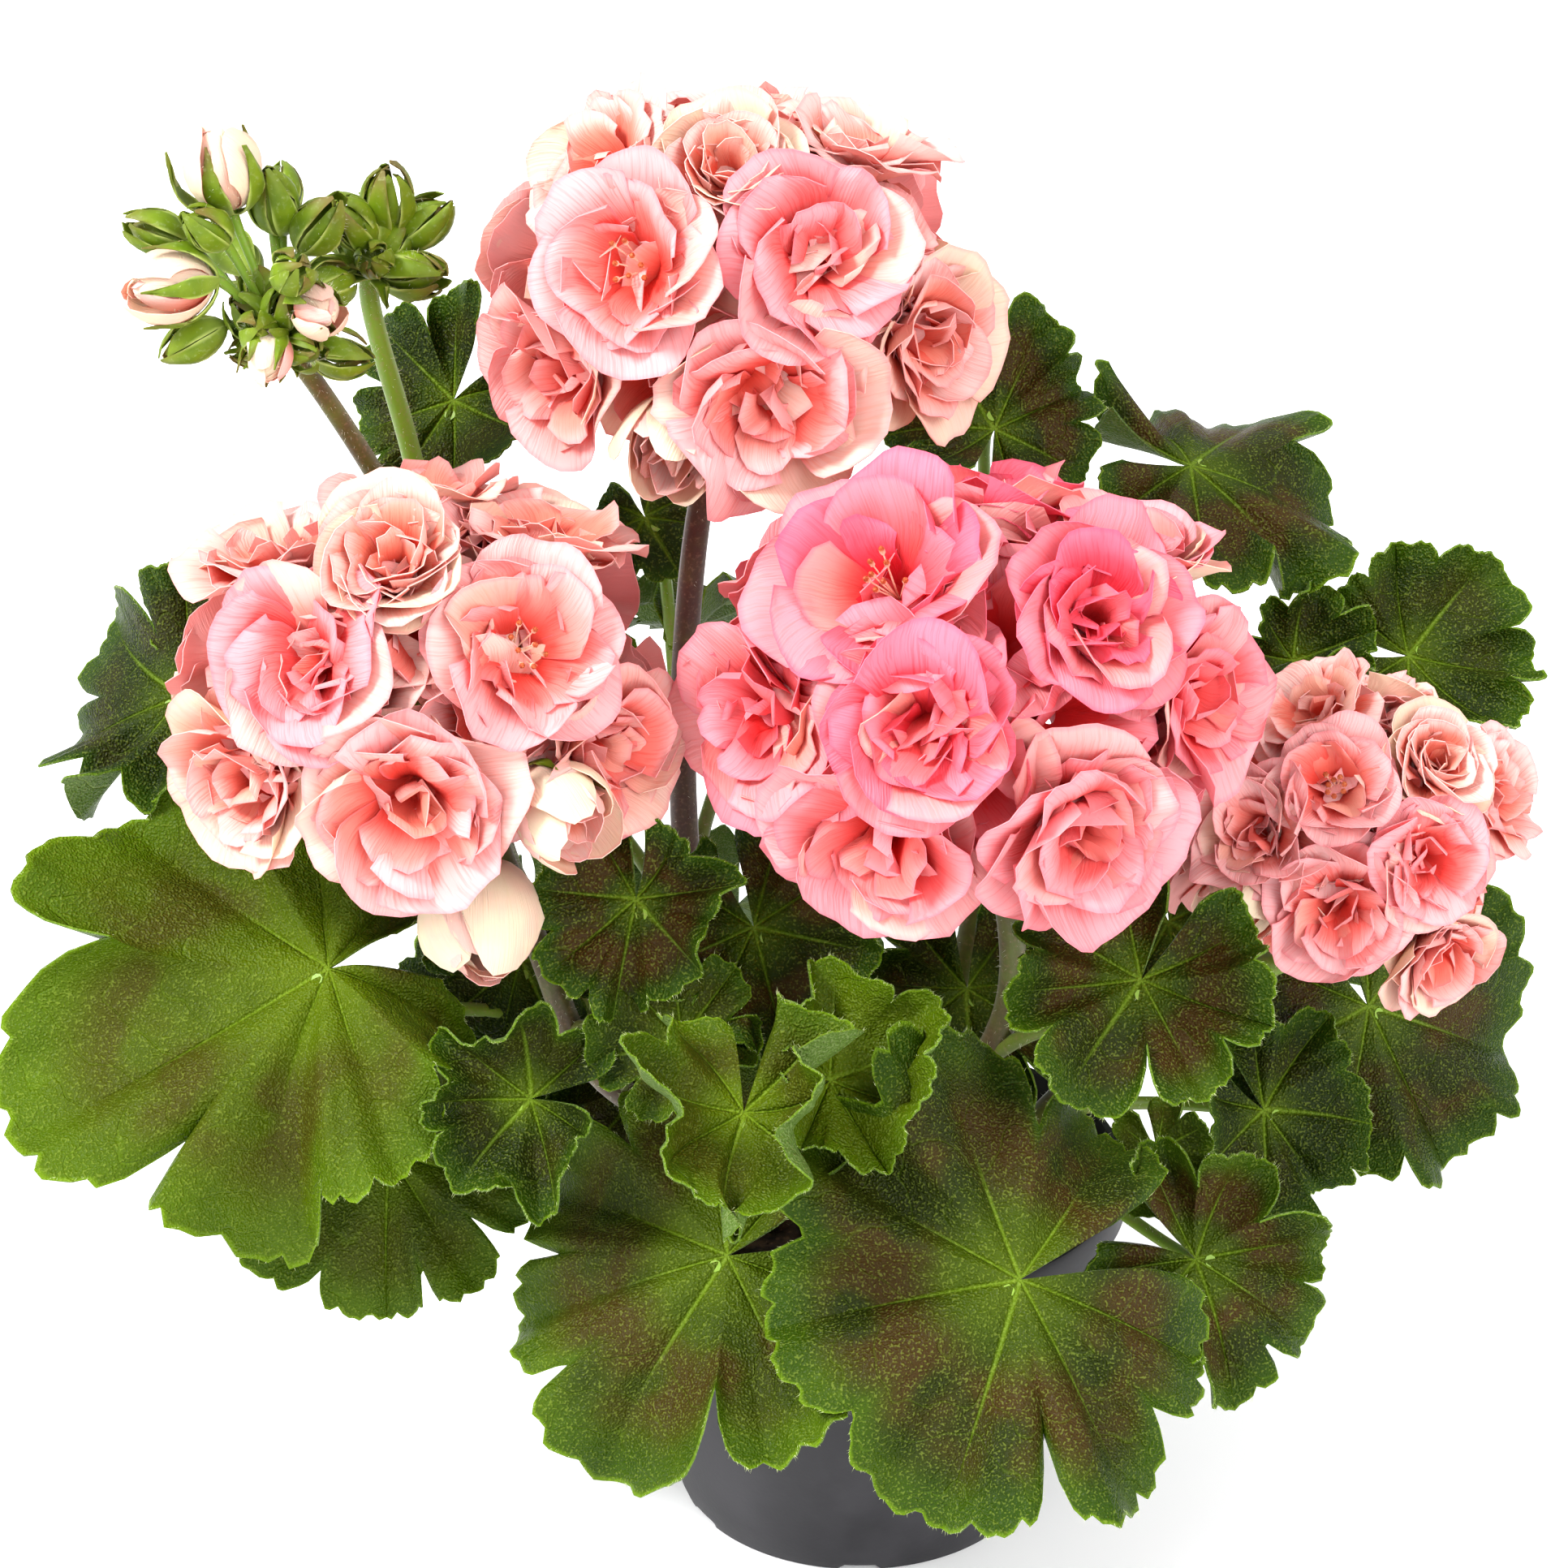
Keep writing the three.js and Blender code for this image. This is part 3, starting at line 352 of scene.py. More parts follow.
# How green the upper part of each is, from 0, dark brown, to 1
STEM_GREEN = {
    "front_left": 0.25, "left": 0.5, "front": 0.35, "right": 0.8, "back_left": 0.05, "back_right": 0.5,
}
TRUNK_RADIUS = 4.2
PEDUNCLE_RADIUS = 2.6
PETIOLE_RADIUS = 1.4
STEM_SIDES = 14
STEM_SMOOTHNESS = 9
PETIOLE_SIDES = 8
PETIOLE_STEPS = 14
JOINT_OFFSET = 3.6
LEAF_REACH = 168
LEAF_LOBES = 7
VEIN_STEP = 2 * LEAF_REACH / LEAF_LOBES
# How many hairs a stalk carries, and the longest of them
STEM_HAIRS = (420, 1.3)
PETIOLE_HAIRS = (90, 1.0)
HAIR_THICKNESS = 0.05
HAIR_BEND = 0.35
HAIR_ROOTING = 0.96
SEAM_GAP = 0.002
UP = Vector((0, 0, 1))
STEM_MARKS = ("green", "hair")


def direction(turn, rise):
    t, r = math.radians(turn), math.radians(rise)
    return Vector((math.sin(t) * math.cos(r), -math.cos(t) * math.cos(r), math.sin(r)))


def facing(turn, rise):
    """Right and up as seen by someone who looks at a face, and the face's normal"""
    normal = direction(turn, rise)
    right = UP.cross(normal).normalized()
    return right, normal.cross(right), normal


def started(marks):
    """A new mesh whose points carry the named marks, which its material reads"""
    bm = bmesh.new()
    for mark in marks:
        bm.verts.layers.float.new(mark)
    return bm


def mark_values(bm, marks):
    """A value for each of the mesh's marks in their order, 0 where none is given"""
    return [marks.get(layer.name, 0) for layer in bm.verts.layers.float.values()]


def sheet(bm, across, along, place):
    """A grid whose points go where place puts them, from their shares across (-1 to 1) and along (0
    to 1). It also gives the values of the mesh's marks there."""
    layers = bm.verts.layers.float.values()
    made = bmesh.ops.create_grid(bm, x_segments=across, y_segments=along, size=1)["verts"]
    for vert in made:
        point, *values = place(vert.co.x, (vert.co.y + 1) / 2)
        vert.co = point
        for layer, value in zip(layers, values):
            vert[layer] = value
    return made


def smooth_line(points, steps):
    """Places along a line that passes smoothly through the points, evenly spread between them"""
    points = [Vector(p) for p in points]
    ends = [2 * points[0] - points[1], *points, 2 * points[-1] - points[-2]]
    line = []
    for before, start, end, after in zip(ends, ends[1:], ends[2:], ends[3:]):
        d0, d1, d2 = (math.sqrt((b - a).length) for a, b in ((before, start), (start, end), (end, after)))
        leaving = ((start - before) / d0 - (end - before) / (d0 + d1) + (end - start) / d1) * d1
        arriving = ((end - start) / d1 - (after - start) / (d1 + d2) + (after - end) / d2) * d1
        line += interpolate_bezier(start, start + leaving / 3, end - arriving / 3, end, steps + 1)[:-1]
    return [Vector(p) for p in [*line, points[-1]]]


def bowed(start, first, last, end, count):
    """Places along a line that leaves its start towards first and comes to its end from last"""
    return [Vector(p) for p in interpolate_bezier(start, first, last, end, count)]


def tapered(first, last, count):
    """Radii that change evenly from the first to the last"""
    return [first + (last - first) * i / (count - 1) for i in range(count)]


def tube(bm, line, radii, sides, **marks):
    """A closed round stalk along a line, with a radius at each place. A mark may change along it."""
    line = [line[0], *line, line[-1]]
    radii = [0, *radii, 0]
    last = len(line) - 1
    values = mark_values(bm, marks)
    frames = []
    side = Vector((1, 0, 0)) if abs((line[2] - line[1]).normalized().x) < 0.9 else Vector((0, 1, 0))
    for i in range(len(line)):
        way = (line[min(i + 1, last)] - line[max(i - 1, 0)]).normalized()
        side = (side - way * side.dot(way)).normalized()
        frames.append((side, way.cross(side)))

    def place(around, along):
        i = round(along * last)
        first, second = frames[i]
        spoke = first * math.cos(math.pi * around) + second * math.sin(math.pi * around)
        return line[i] + spoke * radii[i], *(v(i / last) if callable(v) else v for v in values)

    made = sheet(bm, sides, last, place)
    bmesh.ops.remove_doubles(bm, verts=made, dist=SEAM_GAP)


def hairs(bm, roots, **marks):
    """A field of fine hairs from a list of each one's root and tip: one is made and then doubled"""
    field = started(layer.name for layer in bm.verts.layers.float.values())
    number = field.verts.layers.int.new("number")
    layers = field.verts.layers.float.values()
    bmesh.ops.create_cone(field, cap_ends=False, segments=3, radius1=HAIR_THICKNESS, radius2=0, depth=1)
    for vert in field.verts:
        for layer, value in zip(layers, mark_values(field, marks)):
            vert[layer] = value
    count = 1
    while count < len(roots):
        some = [face for face in field.faces if face.verts[0][number] < len(roots) - count]
        for item in bmesh.ops.duplicate(field, geom=some)["geom"]:
            if isinstance(item, bmesh.types.BMVert):
                item[number] += count
        count = min(2 * count, len(roots))
    frames = []
    for root, tip in roots:
        side = (tip - root).orthogonal().normalized()
        frames.append((root, side, (tip - root).normalized().cross(side), tip - root))
    for vert in field.verts:
        root, side, other, way = frames[vert[number]]
        x, y, z = vert.co
        vert.co = root + side * x + other * y + way * (z + 0.5)
    field.verts.layers.int.remove(number)
    made = bpy.data.meshes.new("hairs")
    field.to_mesh(made)
    field.free()
    bm.from_mesh(made)
    bpy.data.meshes.remove(made)


def stalk_hairs(line, radii, count, length, dice):
    """Roots and tips of the hairs that stand out from a stalk"""
    roots = []
    for _ in range(count):
        i = dice.randrange(len(line) - 1)
        share = dice.random()
        root = line[i].lerp(line[i + 1], share)
        way = (line[i + 1] - line[i]).normalized()
        side = way.orthogonal().normalized()
        side.rotate(Matrix.Rotation(dice.uniform(0, 2 * math.pi), 3, way))
        bend = Vector([dice.uniform(-HAIR_BEND, HAIR_BEND) for _ in range(3)])
        radius = radii[i] * HAIR_ROOTING
        roots.append((root + side * radius, root + side * (radius + length * dice.uniform(0.5, 1)) + bend))
    return roots


def petiole_line(leaf, start):
    """The line of a leaf's stalk: it rises from the stem and meets the blade from behind, a little
    beside its middle vein"""
    turn, rise, vein = leaf["face"]
    right, up, normal = facing(turn, rise)
    beside = math.radians(vein + VEIN_STEP / 2)
    end = Vector(leaf["at"]) + right * JOINT_OFFSET * math.cos(beside) + up * JOINT_OFFSET * math.sin(beside)
    span = (end - start).length
    first = (start + UP * span * 0.2).lerp(end, 0.25)
    return bowed(start, first, end - normal * span * 0.3, end, PETIOLE_STEPS + 1)


skin = Finish("stem_skin")
skin_green = skin.mark("green")
skin_hair = skin.mark("hair")
skin_blotches = skin.noise(skin.place(), 160.0, 4.0)
skin_grain = skin.noise(skin.place(), 1100.0)
skin_share = skin.step(skin.math("MULTIPLY_ADD", skin_blotches, 0.5, skin_green), 0.2, 1.05)
skin_colour = skin.mix(skin_share, tint(74, 40, 28), tint(108, 142, 8))
skin_colour = skin.mix(skin.step(skin_grain, 0.5, 0.75, 0.0, 0.35), skin_colour, tint(150, 112, 84))
skin_colour = skin.mix(skin_hair, skin_colour, tint(226, 226, 200))
stem_skin = skin.surface(skin_colour, {
    "Roughness": 0.5, "Sheen Weight": 0.15, "Normal": skin.bump(skin_grain, 0.0002, 0.5),
})

# Leaves: thick, softly hairy blades, rounded, with shallow lobes and scalloped edges. Main veins run
# from the stalk to the lobes, and older blades carry a brown ring. Each row gives where stalk and
# blade meet, the turn and rise that the upper face looks along and the way of the middle vein as
# seen from there, that vein's length, and the height at which the stalk leaves the stem. Cup lifts
# the edge, fold closes the halves, droop bends the tip away, back is the share of size at the back,
# cut the depth between lobes, zone how brown the ring is, tone how light the green is and sway how
# much each lobe bends in its own way.
USUAL_LEAF = {"cup": 0.04, "fold": 8, "droop": 10, "back": 0.72, "cut": 0.18, "zone": 0.35, "sway": 1.0}
LEAVES = {
    "front_left": [
        ((-31, -72, 106), (-10, 42, -158), 60, 92,
         {"cup": 0.02, "fold": -6, "droop": 12, "back": 0.7, "zone": 0.9}),
        ((-75, -64, 142), (-6, 24, -172), 27, 136,
         {"cup": 0.1, "fold": 64, "droop": -34, "back": 0.85, "cut": 0.08}),
        # This leaf lies in the shade under the two front heads: its low tone is painted shade, and its strong
        # brown ring is partly the real zone and partly painted shade.
        ((-51, -54, 187), (-5, 32, -92), 25, 128,
         {"cup": 0.12, "fold": 52, "droop": 20, "cut": 0.1, "zone": 1.2, "tone": -0.3}),
        ((-41, -62, 156), (2, 28, 142), 22, 122, {"cup": 0.05, "fold": 6, "droop": 5}),
        # This leaf also lies in the shade under the two front heads: its low tone is painted shade, and its
        # strong brown ring is partly the real zone and partly painted shade.
        ((-25, -42, 174), (8, 32, -70), 31, 150,
         {"cup": 0.06, "droop": 16, "fold": 44, "cut": 0.1, "zone": 1.4, "tone": -0.35}),
        ((-27, -88, 152), (2, 46, -98), 33, 142,
         {"cup": 0.1, "fold": 124, "cut": 0.05, "zone": 0.5, "tone": 0.7}),
        # The next two leaves sit deep in the middle of the plant: their low tone is painted shade.
        ((-50, -8, 116), (-10, 36, -120), 30, 94, {"zone": 0.6, "tone": -0.2}),
        ((-14, -22, 124), (4, 34, -60), 30, 98, {"zone": 0.8, "tone": -0.4}),
    ],
    "left": [
        ((-121, -45, 165), (-15, 52, -150), 75, 114,
         {"cup": 0.03, "fold": -8, "droop": 14, "back": 0.3, "zone": 0.7}),
        ((-111, -26, 106), (-15, 35, -96), 42, 92, {"cup": 0.02, "fold": -6}),
        ((-87, 20, 125), (-8, 30, -80), 34, 102, {"cup": 0.03}),
        ((-158, 5, 210), (-25, 42, -158), 36, 152, {"droop": 24, "fold": 40, "cut": 0.2, "tone": -0.3}),
        ((-150, 24, 224), (-30, 36, 160), 19, 162, {"cup": 0.1, "fold": 14, "droop": 8}),
        ((-97, 60, 263), (-12, 34, -120), 30, 176, {"cup": 0.06, "fold": 14, "droop": 14}),
        # This leaf sits deep in the middle of the plant: its low tone is painted shade.
        ((-80, -12, 150), (-4, 36, -100), 27, 125, {"tone": -0.2}),
    ],
    "front": [
        ((34, -92, 112), (8, 42, -166), 58, 92, {"cup": 0.02, "fold": -6, "back": 0.85, "zone": 1.0}),
        ((-8, -70, 150), (10, 40, 24), 31, 116,
         {"cup": 0.14, "fold": 58, "droop": -26, "back": 0.5, "cut": 0.06, "zone": 0.1, "tone": 0.9}),
        ((61, -62, 171), (10, 45, -125), 35, 130,
         {"cup": 0.08, "fold": 12, "droop": 16, "back": 0.75, "zone": 1.2, "tone": 0.2}),
        # This leaf sits deep in the middle of the plant: its low tone is painted shade.
        ((26, 12, 130), (6, 40, -90), 34, 98, {"zone": 0.8, "tone": -0.4}),
    ],
    "right": [
        ((68, -42, 116), (5, 30, -70), 16, 94, {"cup": 0.1, "fold": 16, "droop": 6, "zone": 0.7}),
        ((76, -62, 99), (20, 35, -40), 36, 90, {"cut": 0.26, "fold": 34, "zone": 1.2}),
        ((124, 18, 122), (26, 20, -66), 46, 112,
         {"cup": 0.03, "fold": -24, "back": 0.8, "cut": 0.08, "zone": 1.3, "tone": -0.1, "sway": 0.35}),
        ((97, -5, 106), (24, 22, -55), 28, 100, {"cup": 0.06, "fold": 56, "cut": 0.1, "tone": -0.3}),
        # This leaf sits deep in the middle of the plant: its low tone is painted shade.
        ((74, 12, 148), (8, 36, -80), 28, 118, {"zone": 0.7, "tone": -0.3}),
    ],
    "back_left": [
        ((-52, 68, 230), (-5, 35, -60), 16, 150, {"cup": 0.08, "fold": 14, "droop": 6}),
        ((-88, 70, 120), (-126, 48, -100), 48, 98, {"cup": 0.03, "fold": -6, "droop": 14}),
        ((-30, 94, 112), (-168, 42, -84), 48, 104, {"cup": 0.03, "fold": -8, "droop": 14}),
        ((-84, 66, 188), (-125, 50, -110), 41, 128, {"droop": 14, "zone": 0.7}),
        ((-24, 86, 201), (-172, 48, -95), 43, 148, {"droop": 12}),
    ],
    "back_right": [
        ((32, 56, 257), (18, 44, 62), 31, 178, {"cup": 0.05, "fold": -30, "zone": 1.4, "tone": -0.3}),
        ((80, 66, 244), (24, 66, -18), 42, 170,
         {"fold": -40, "droop": 34, "back": 0.6, "zone": 1.6, "tone": -0.3}),
        ((133, 50, 201), (14, 42, -10), 33, 140,
         {"cup": 0.1, "fold": 40, "droop": 8, "cut": 0.12, "tone": 0.2, "sway": 0.4}),
        ((104, 40, 204), (10, 30, 24), 21, 150, {"cup": 0.12, "fold": 40, "droop": 6, "tone": 0.1}),
        ((38, 104, 126), (162, 44, -100), 46, 98, {"cup": 0.03, "fold": -8, "droop": 14, "zone": 0.8}),
        ((99, 68, 120), (114, 48, -75), 48, 108, {"cup": 0.03, "fold": -6, "droop": 14}),
        ((86, 90, 176), (128, 50, -90), 40, 130, {"droop": 14}),
        ((34, 104, 200), (170, 48, -85), 38, 144, {"droop": 12, "zone": 0.7}),
    ],
}
LEAF_MARKS = ("share", "run", "off", "zone", "tone", "back", "hair")
BLADE_THICKNESS = 0.55
SMALL_LEAF = 25
SMALL_LEAF_STEPS = (16, 8)
LEAF_STEPS = (26, 10)
RIM_HAIR_GAP = 0.9
RIM_HAIR_LENGTH = 1.1
# The relief of a blade in shares of its size: its pleats lie low along the main veins and rise
# between them, with a shallow gully halfway up. Its edge waves, ruffles, is scalloped and nicked.
PLEAT_HEIGHT = 0.17
GULLY_DEPTH = 0.03
WAVE_HEIGHT = 0.07
RUFFLE_HEIGHTS = (0.04, 0.014)
SCALLOP_DEPTH = 0.055
NICK_DEPTH = 0.026
LOBE_SWAY = 0.2


def thickened(bm, thickness):
    """Both faces of the sheets and the walls round them, with the lower ones marked as the back"""
    bm.normal_update()
    back = bm.verts.layers.float["back"]
    lower = [(vert, vert.normal.copy()) for vert in bm.verts]
    bmesh.ops.extrude_face_region(bm, geom=bm.faces[:], use_keep_orig=True)
    for vert, normal in lower:
        vert.co -= normal * thickness
        vert[back] = 1


def draws(seed):
    """A repeatable draw between 0 and 1"""
    state = seed * 7919 + 17
    while True:
        state = state * 16807 % 2147483647
        yield state / 2147483647


def bent(distance, height, turn_per_length):
    """A place at a distance and height from a line, once the sheet round it is rolled"""
    if abs(turn_per_length) < 1e-6:
        return distance, height
    centre = 1 / turn_per_length
    radius = centre - height
    turn = turn_per_length * distance
    return radius * math.sin(turn), centre - radius * math.cos(turn)


def lobe_mix(values, place):
    """A value that changes smoothly from the middle of one lobe to the middle of the next"""
    spot = min(max(place - 0.5, 0.0), len(values) - 1.001)
    low = int(spot)
    share = spot - low
    return values[low] + (values[low + 1] - values[low]) * share * share * (3 - 2 * share)


def lobe_at(leaf, angle):
    """The lobe at an angle, counted from one side, and the share of its width there"""
    even = (angle + LEAF_REACH) / VEIN_STEP
    turn = math.pi * even / LEAF_LOBES
    sway = LOBE_SWAY * math.sin(turn) * math.sin(4 * turn + leaf["phases"][0])
    lobe = min(max(even + sway, 0.0), LEAF_LOBES - 0.0001)
    return lobe, lobe % 1


def leaf_place(leaf, share, angle):
    """A place on the blade: its distances along and across the middle vein, and above it"""
    lobe, part = lobe_at(leaf, angle)
    off = abs(2 * part - 1)
    turn = math.radians(angle)
    first, second = leaf["phases"]
    size = leaf["size"]
    reach = 1 - (1 - leaf["back"]) * abs(angle / LEAF_REACH) ** 1.3
    notch = 1 - (0.75 * leaf["cut"] * off ** 3.5 + leaf["clefts"][round(lobe)] * off ** 9) * share
    scallop = abs(math.cos(math.pi * leaf["teeth"] * (part - 0.5))) ** 0.75
    nick = abs(math.cos(9.5 * math.pi * (part - 0.5) + first))
    edge = 1 + SCALLOP_DEPTH * (scallop - 0.6) * share ** 8 + NICK_DEPTH * (nick - 0.6) * share ** 16
    radius = size * reach * notch * edge * share * lobe_mix(leaf["lengths"], lobe)

    gully = max(0.0, 1 - abs(off - 0.5) / 0.2) * min(1.0, max(0.0, 2.5 * share - 0.8))
    pleat = PLEAT_HEIGHT * share ** 1.1 * (0.45 - (1 - off) ** 1.7) - GULLY_DEPTH * gully * share
    roll = leaf["rolls"][int(lobe)] * math.sin(2 * math.pi * part) * share ** 2
    wave = WAVE_HEIGHT * share ** 2 * (math.sin(2 * turn + first) + 0.8 * math.sin(3 * turn + second))
    long, short = RUFFLE_HEIGHTS
    ruffle = long * share ** 4 * math.sin(9 * turn + 3 * second)
    ruffle += short * share ** 6 * math.sin(23 * turn + first)
    lift = lobe_mix(leaf["lifts"], lobe) * share ** 2.2
    height = size * (leaf["cup"] * share ** 2 + pleat + roll + wave + ruffle + lift)
    across, height = bent(radius * math.sin(turn), height, math.radians(leaf["fold"]) / size)
    along, height = bent(radius * math.cos(turn), height, -math.radians(leaf["droop"]) / size)
    return along, across, height


def leaf_from(row, draw):
    """A leaf's values, with its own lobes: how deep the clefts beside them are, how long the lobes are
    and how far each one's tip stands up and its sides roll"""
    at, face, size, foot, changes = row
    leaf = {**USUAL_LEAF, "at": at, "face": face, "size": size, "foot": foot, **changes}
    leaf["phases"] = [2 * math.pi * next(draw) for _ in range(2)]
    leaf.setdefault("tone", next(draw))
    leaf["teeth"] = 3 if size < 1.6 * SMALL_LEAF else 5
    leaf["clefts"] = [0.04 + 2.0 * leaf["cut"] * next(draw) ** 2 for _ in range(LEAF_LOBES + 1)]
    leaf["lengths"] = [0.88 + 0.2 * next(draw) for _ in range(LEAF_LOBES)]
    leaf["lifts"] = [0.66 * leaf["sway"] * (next(draw) - 0.5) for _ in range(LEAF_LOBES)]
    leaf["rolls"] = [0.5 * leaf["sway"] * (next(draw) - 0.5) for _ in range(LEAF_LOBES)]
    return leaf


def blade(bm, leaf, dice):
    """A leaf blade on rings round the point where its stalk joins, and the hairs round its edge"""
    right, up, normal = facing(*leaf["face"][:2])
    vein = math.radians(leaf["face"][2])
    along = right * math.cos(vein) + up * math.sin(vein)
    across = normal.cross(along)
    size = leaf["size"]

    def point(share, angle):
        ahead, aside, above = leaf_place(leaf, share, angle)
        return Vector(leaf["at"]) + along * ahead + across * aside + normal * above

    def place(side, way):
        angle = -side * LEAF_REACH
        share = 1 - (1 - way) ** 1.4
        off = abs(lobe_at(leaf, angle)[1] - 0.5) * math.radians(VEIN_STEP) * share * size
        return point(share, angle), share, share * size, off, leaf["zone"], leaf["tone"], 0, 0

    lobe_steps, ring_steps = SMALL_LEAF_STEPS if size < SMALL_LEAF else LEAF_STEPS
    made = sheet(bm, LEAF_LOBES * lobe_steps, ring_steps, place)
    bmesh.ops.remove_doubles(bm, verts=made, dist=SEAM_GAP)
    roots = []
    for _ in range(int(size * math.radians(2 * LEAF_REACH) / RIM_HAIR_GAP)):
        angle = dice.uniform(-LEAF_REACH, LEAF_REACH)
        root = point(0.995, angle)
        way = (root - point(0.9, angle)).normalized()
        way += Vector([dice.uniform(-0.6, 0.6) for _ in range(3)]) + normal * 0.2
        roots.append((root, root + way * RIM_HAIR_LENGTH * dice.uniform(0.5, 1)))
    return roots


leaf_skin = Finish("leaf_skin")
where = leaf_skin.place()
share, run, off = (leaf_skin.mark(name) for name in ("share", "run", "off"))
fine = leaf_skin.noise(where, 1900.0, 0.0)
clouds = leaf_skin.noise(where, 60.0, 1.0)
wander = leaf_skin.noise(where, 140.0, 0.0)
vein_width = leaf_skin.step(share, 0.0, 1.0, 1.0, 0.3)
main_vein = leaf_skin.step(leaf_skin.math("DIVIDE", off, vein_width), 0.1, 0.9, 1.0, 0.0)
slant = leaf_skin.math("MULTIPLY_ADD", off, -0.9, leaf_skin.math("MULTIPLY_ADD", wander, 9.0, run))
beside = leaf_skin.math("PINGPONG", slant, 5.2)
side_vein = leaf_skin.math(
    "MULTIPLY", leaf_skin.step(beside, 0.05, 0.45, 1.0, 0.0), leaf_skin.step(share, 0.25, 0.5, 0.0, 0.6)
)
pucker = leaf_skin.noise(where, 420.0, 0.0)
veins = leaf_skin.math("MAXIMUM", main_vein, side_vein)
green = leaf_skin.mix(
    leaf_skin.step(leaf_skin.math("ADD", clouds, leaf_skin.mark("tone")), 0.55, 1.5),
    tint(24, 38, 0), tint(68, 86, 0),
)
green = leaf_skin.mix(leaf_skin.step(share, 0.0, 0.5, 0.3, 0.0), green, tint(100, 122, 4))
green = leaf_skin.mix(leaf_skin.step(share, 0.7, 0.98, 0.0, 0.22), green, tint(68, 106, 0))
ring = leaf_skin.math(
    "MULTIPLY", leaf_skin.step(share, 0.24, 0.5), leaf_skin.step(share, 0.62, 0.92, 1.0, 0.0)
)
ring = leaf_skin.math("MULTIPLY", ring, leaf_skin.mark("zone"))
ring = leaf_skin.math("MULTIPLY", ring, leaf_skin.step(clouds, 0.38, 0.6, 0.15, 0.95))
ring = leaf_skin.math("MULTIPLY", ring, leaf_skin.step(main_vein, 0.0, 1.0, 1.0, 0.25))
green = leaf_skin.mix(ring, green, tint(55, 38, 10))
green = leaf_skin.mix(leaf_skin.math("MULTIPLY", side_vein, 0.16), green, tint(118, 152, 30))
green = leaf_skin.mix(leaf_skin.math("MULTIPLY", main_vein, 0.28), green, tint(140, 174, 44))
green = leaf_skin.mix(leaf_skin.step(share, 0.975, 0.998, 0.0, 0.34), green, tint(130, 168, 20))
# Pale specks from the fine grain are painted sheen: the glint off the leaf's tiny hairs.
green = leaf_skin.mix(leaf_skin.step(fine, 0.54, 0.78, 0.0, 0.26), green, tint(142, 160, 62))
reverse = leaf_skin.mix(veins, tint(78, 102, 38), tint(116, 136, 60))
reverse = leaf_skin.mix(leaf_skin.step(fine, 0.45, 0.75, 0.0, 0.4), reverse, tint(136, 152, 96))
skin_tone = leaf_skin.mix(leaf_skin.mark("back"), green, reverse)
skin_tone = leaf_skin.mix(leaf_skin.mark("hair"), skin_tone, tint(214, 226, 160))
hollow = leaf_skin.math("MULTIPLY_ADD", veins, -0.7, leaf_skin.math("MULTIPLY", pucker, 0.6))
relief = leaf_skin.bump(leaf_skin.math("MULTIPLY_ADD", fine, 0.8, hollow), 0.0007, 0.9)
foliage = leaf_skin.surface(skin_tone, {
    "Roughness": leaf_skin.step(fine, 0.3, 0.8, 0.34, 0.5), "Normal": relief, "Specular IOR Level": 0.09,
}, leaf_skin.mix(0.5, skin_tone, tint(130, 190, 0)), 0.12)


def at_height(line, height):
    return next((p for p in line if p.z >= height), line[-1])


stem_lines = {}
for order, (name, points) in enumerate(STEMS.items()):
    line = smooth_line(points, STEM_SMOOTHNESS)
    stem_lines[name] = line
    radii = tapered(TRUNK_RADIUS, PEDUNCLE_RADIUS, len(line))
    dice = random.Random(40 + order)
    top_green = STEM_GREEN[name]
    stems = started(STEM_MARKS)
    leaves = started(LEAF_MARKS)
    tube(stems, line, radii, STEM_SIDES, green=lambda t: top_green * t)
    roots = stalk_hairs(line, radii, *STEM_HAIRS, dice)
    rim_roots = []
    for i, row in enumerate(LEAVES[name]):
        leaf = leaf_from(row, draws(10 * order + 1 + i))
        rim_roots += blade(leaves, leaf, dice)
        stalk = petiole_line(leaf, at_height(line, leaf["foot"]))
        stalk_radii = tapered(1.4 * PETIOLE_RADIUS, PETIOLE_RADIUS, len(stalk))
        tube(stems, stalk, stalk_radii, PETIOLE_SIDES, green=lambda t: 0.25 + 0.75 * t)
        roots += stalk_hairs(stalk, stalk_radii, *PETIOLE_HAIRS, dice)
    hairs(stems, roots, green=1, hair=1)
    make_piece(stems, "stem_" + name, stem_skin, "foliage", "shoot_" + name)
    thickened(leaves, BLADE_THICKNESS)
    hairs(leaves, rim_roots, share=1, off=9, hair=1)
    make_piece(leaves, "leaves_" + name, foliage, "foliage", "shoot_" + name)

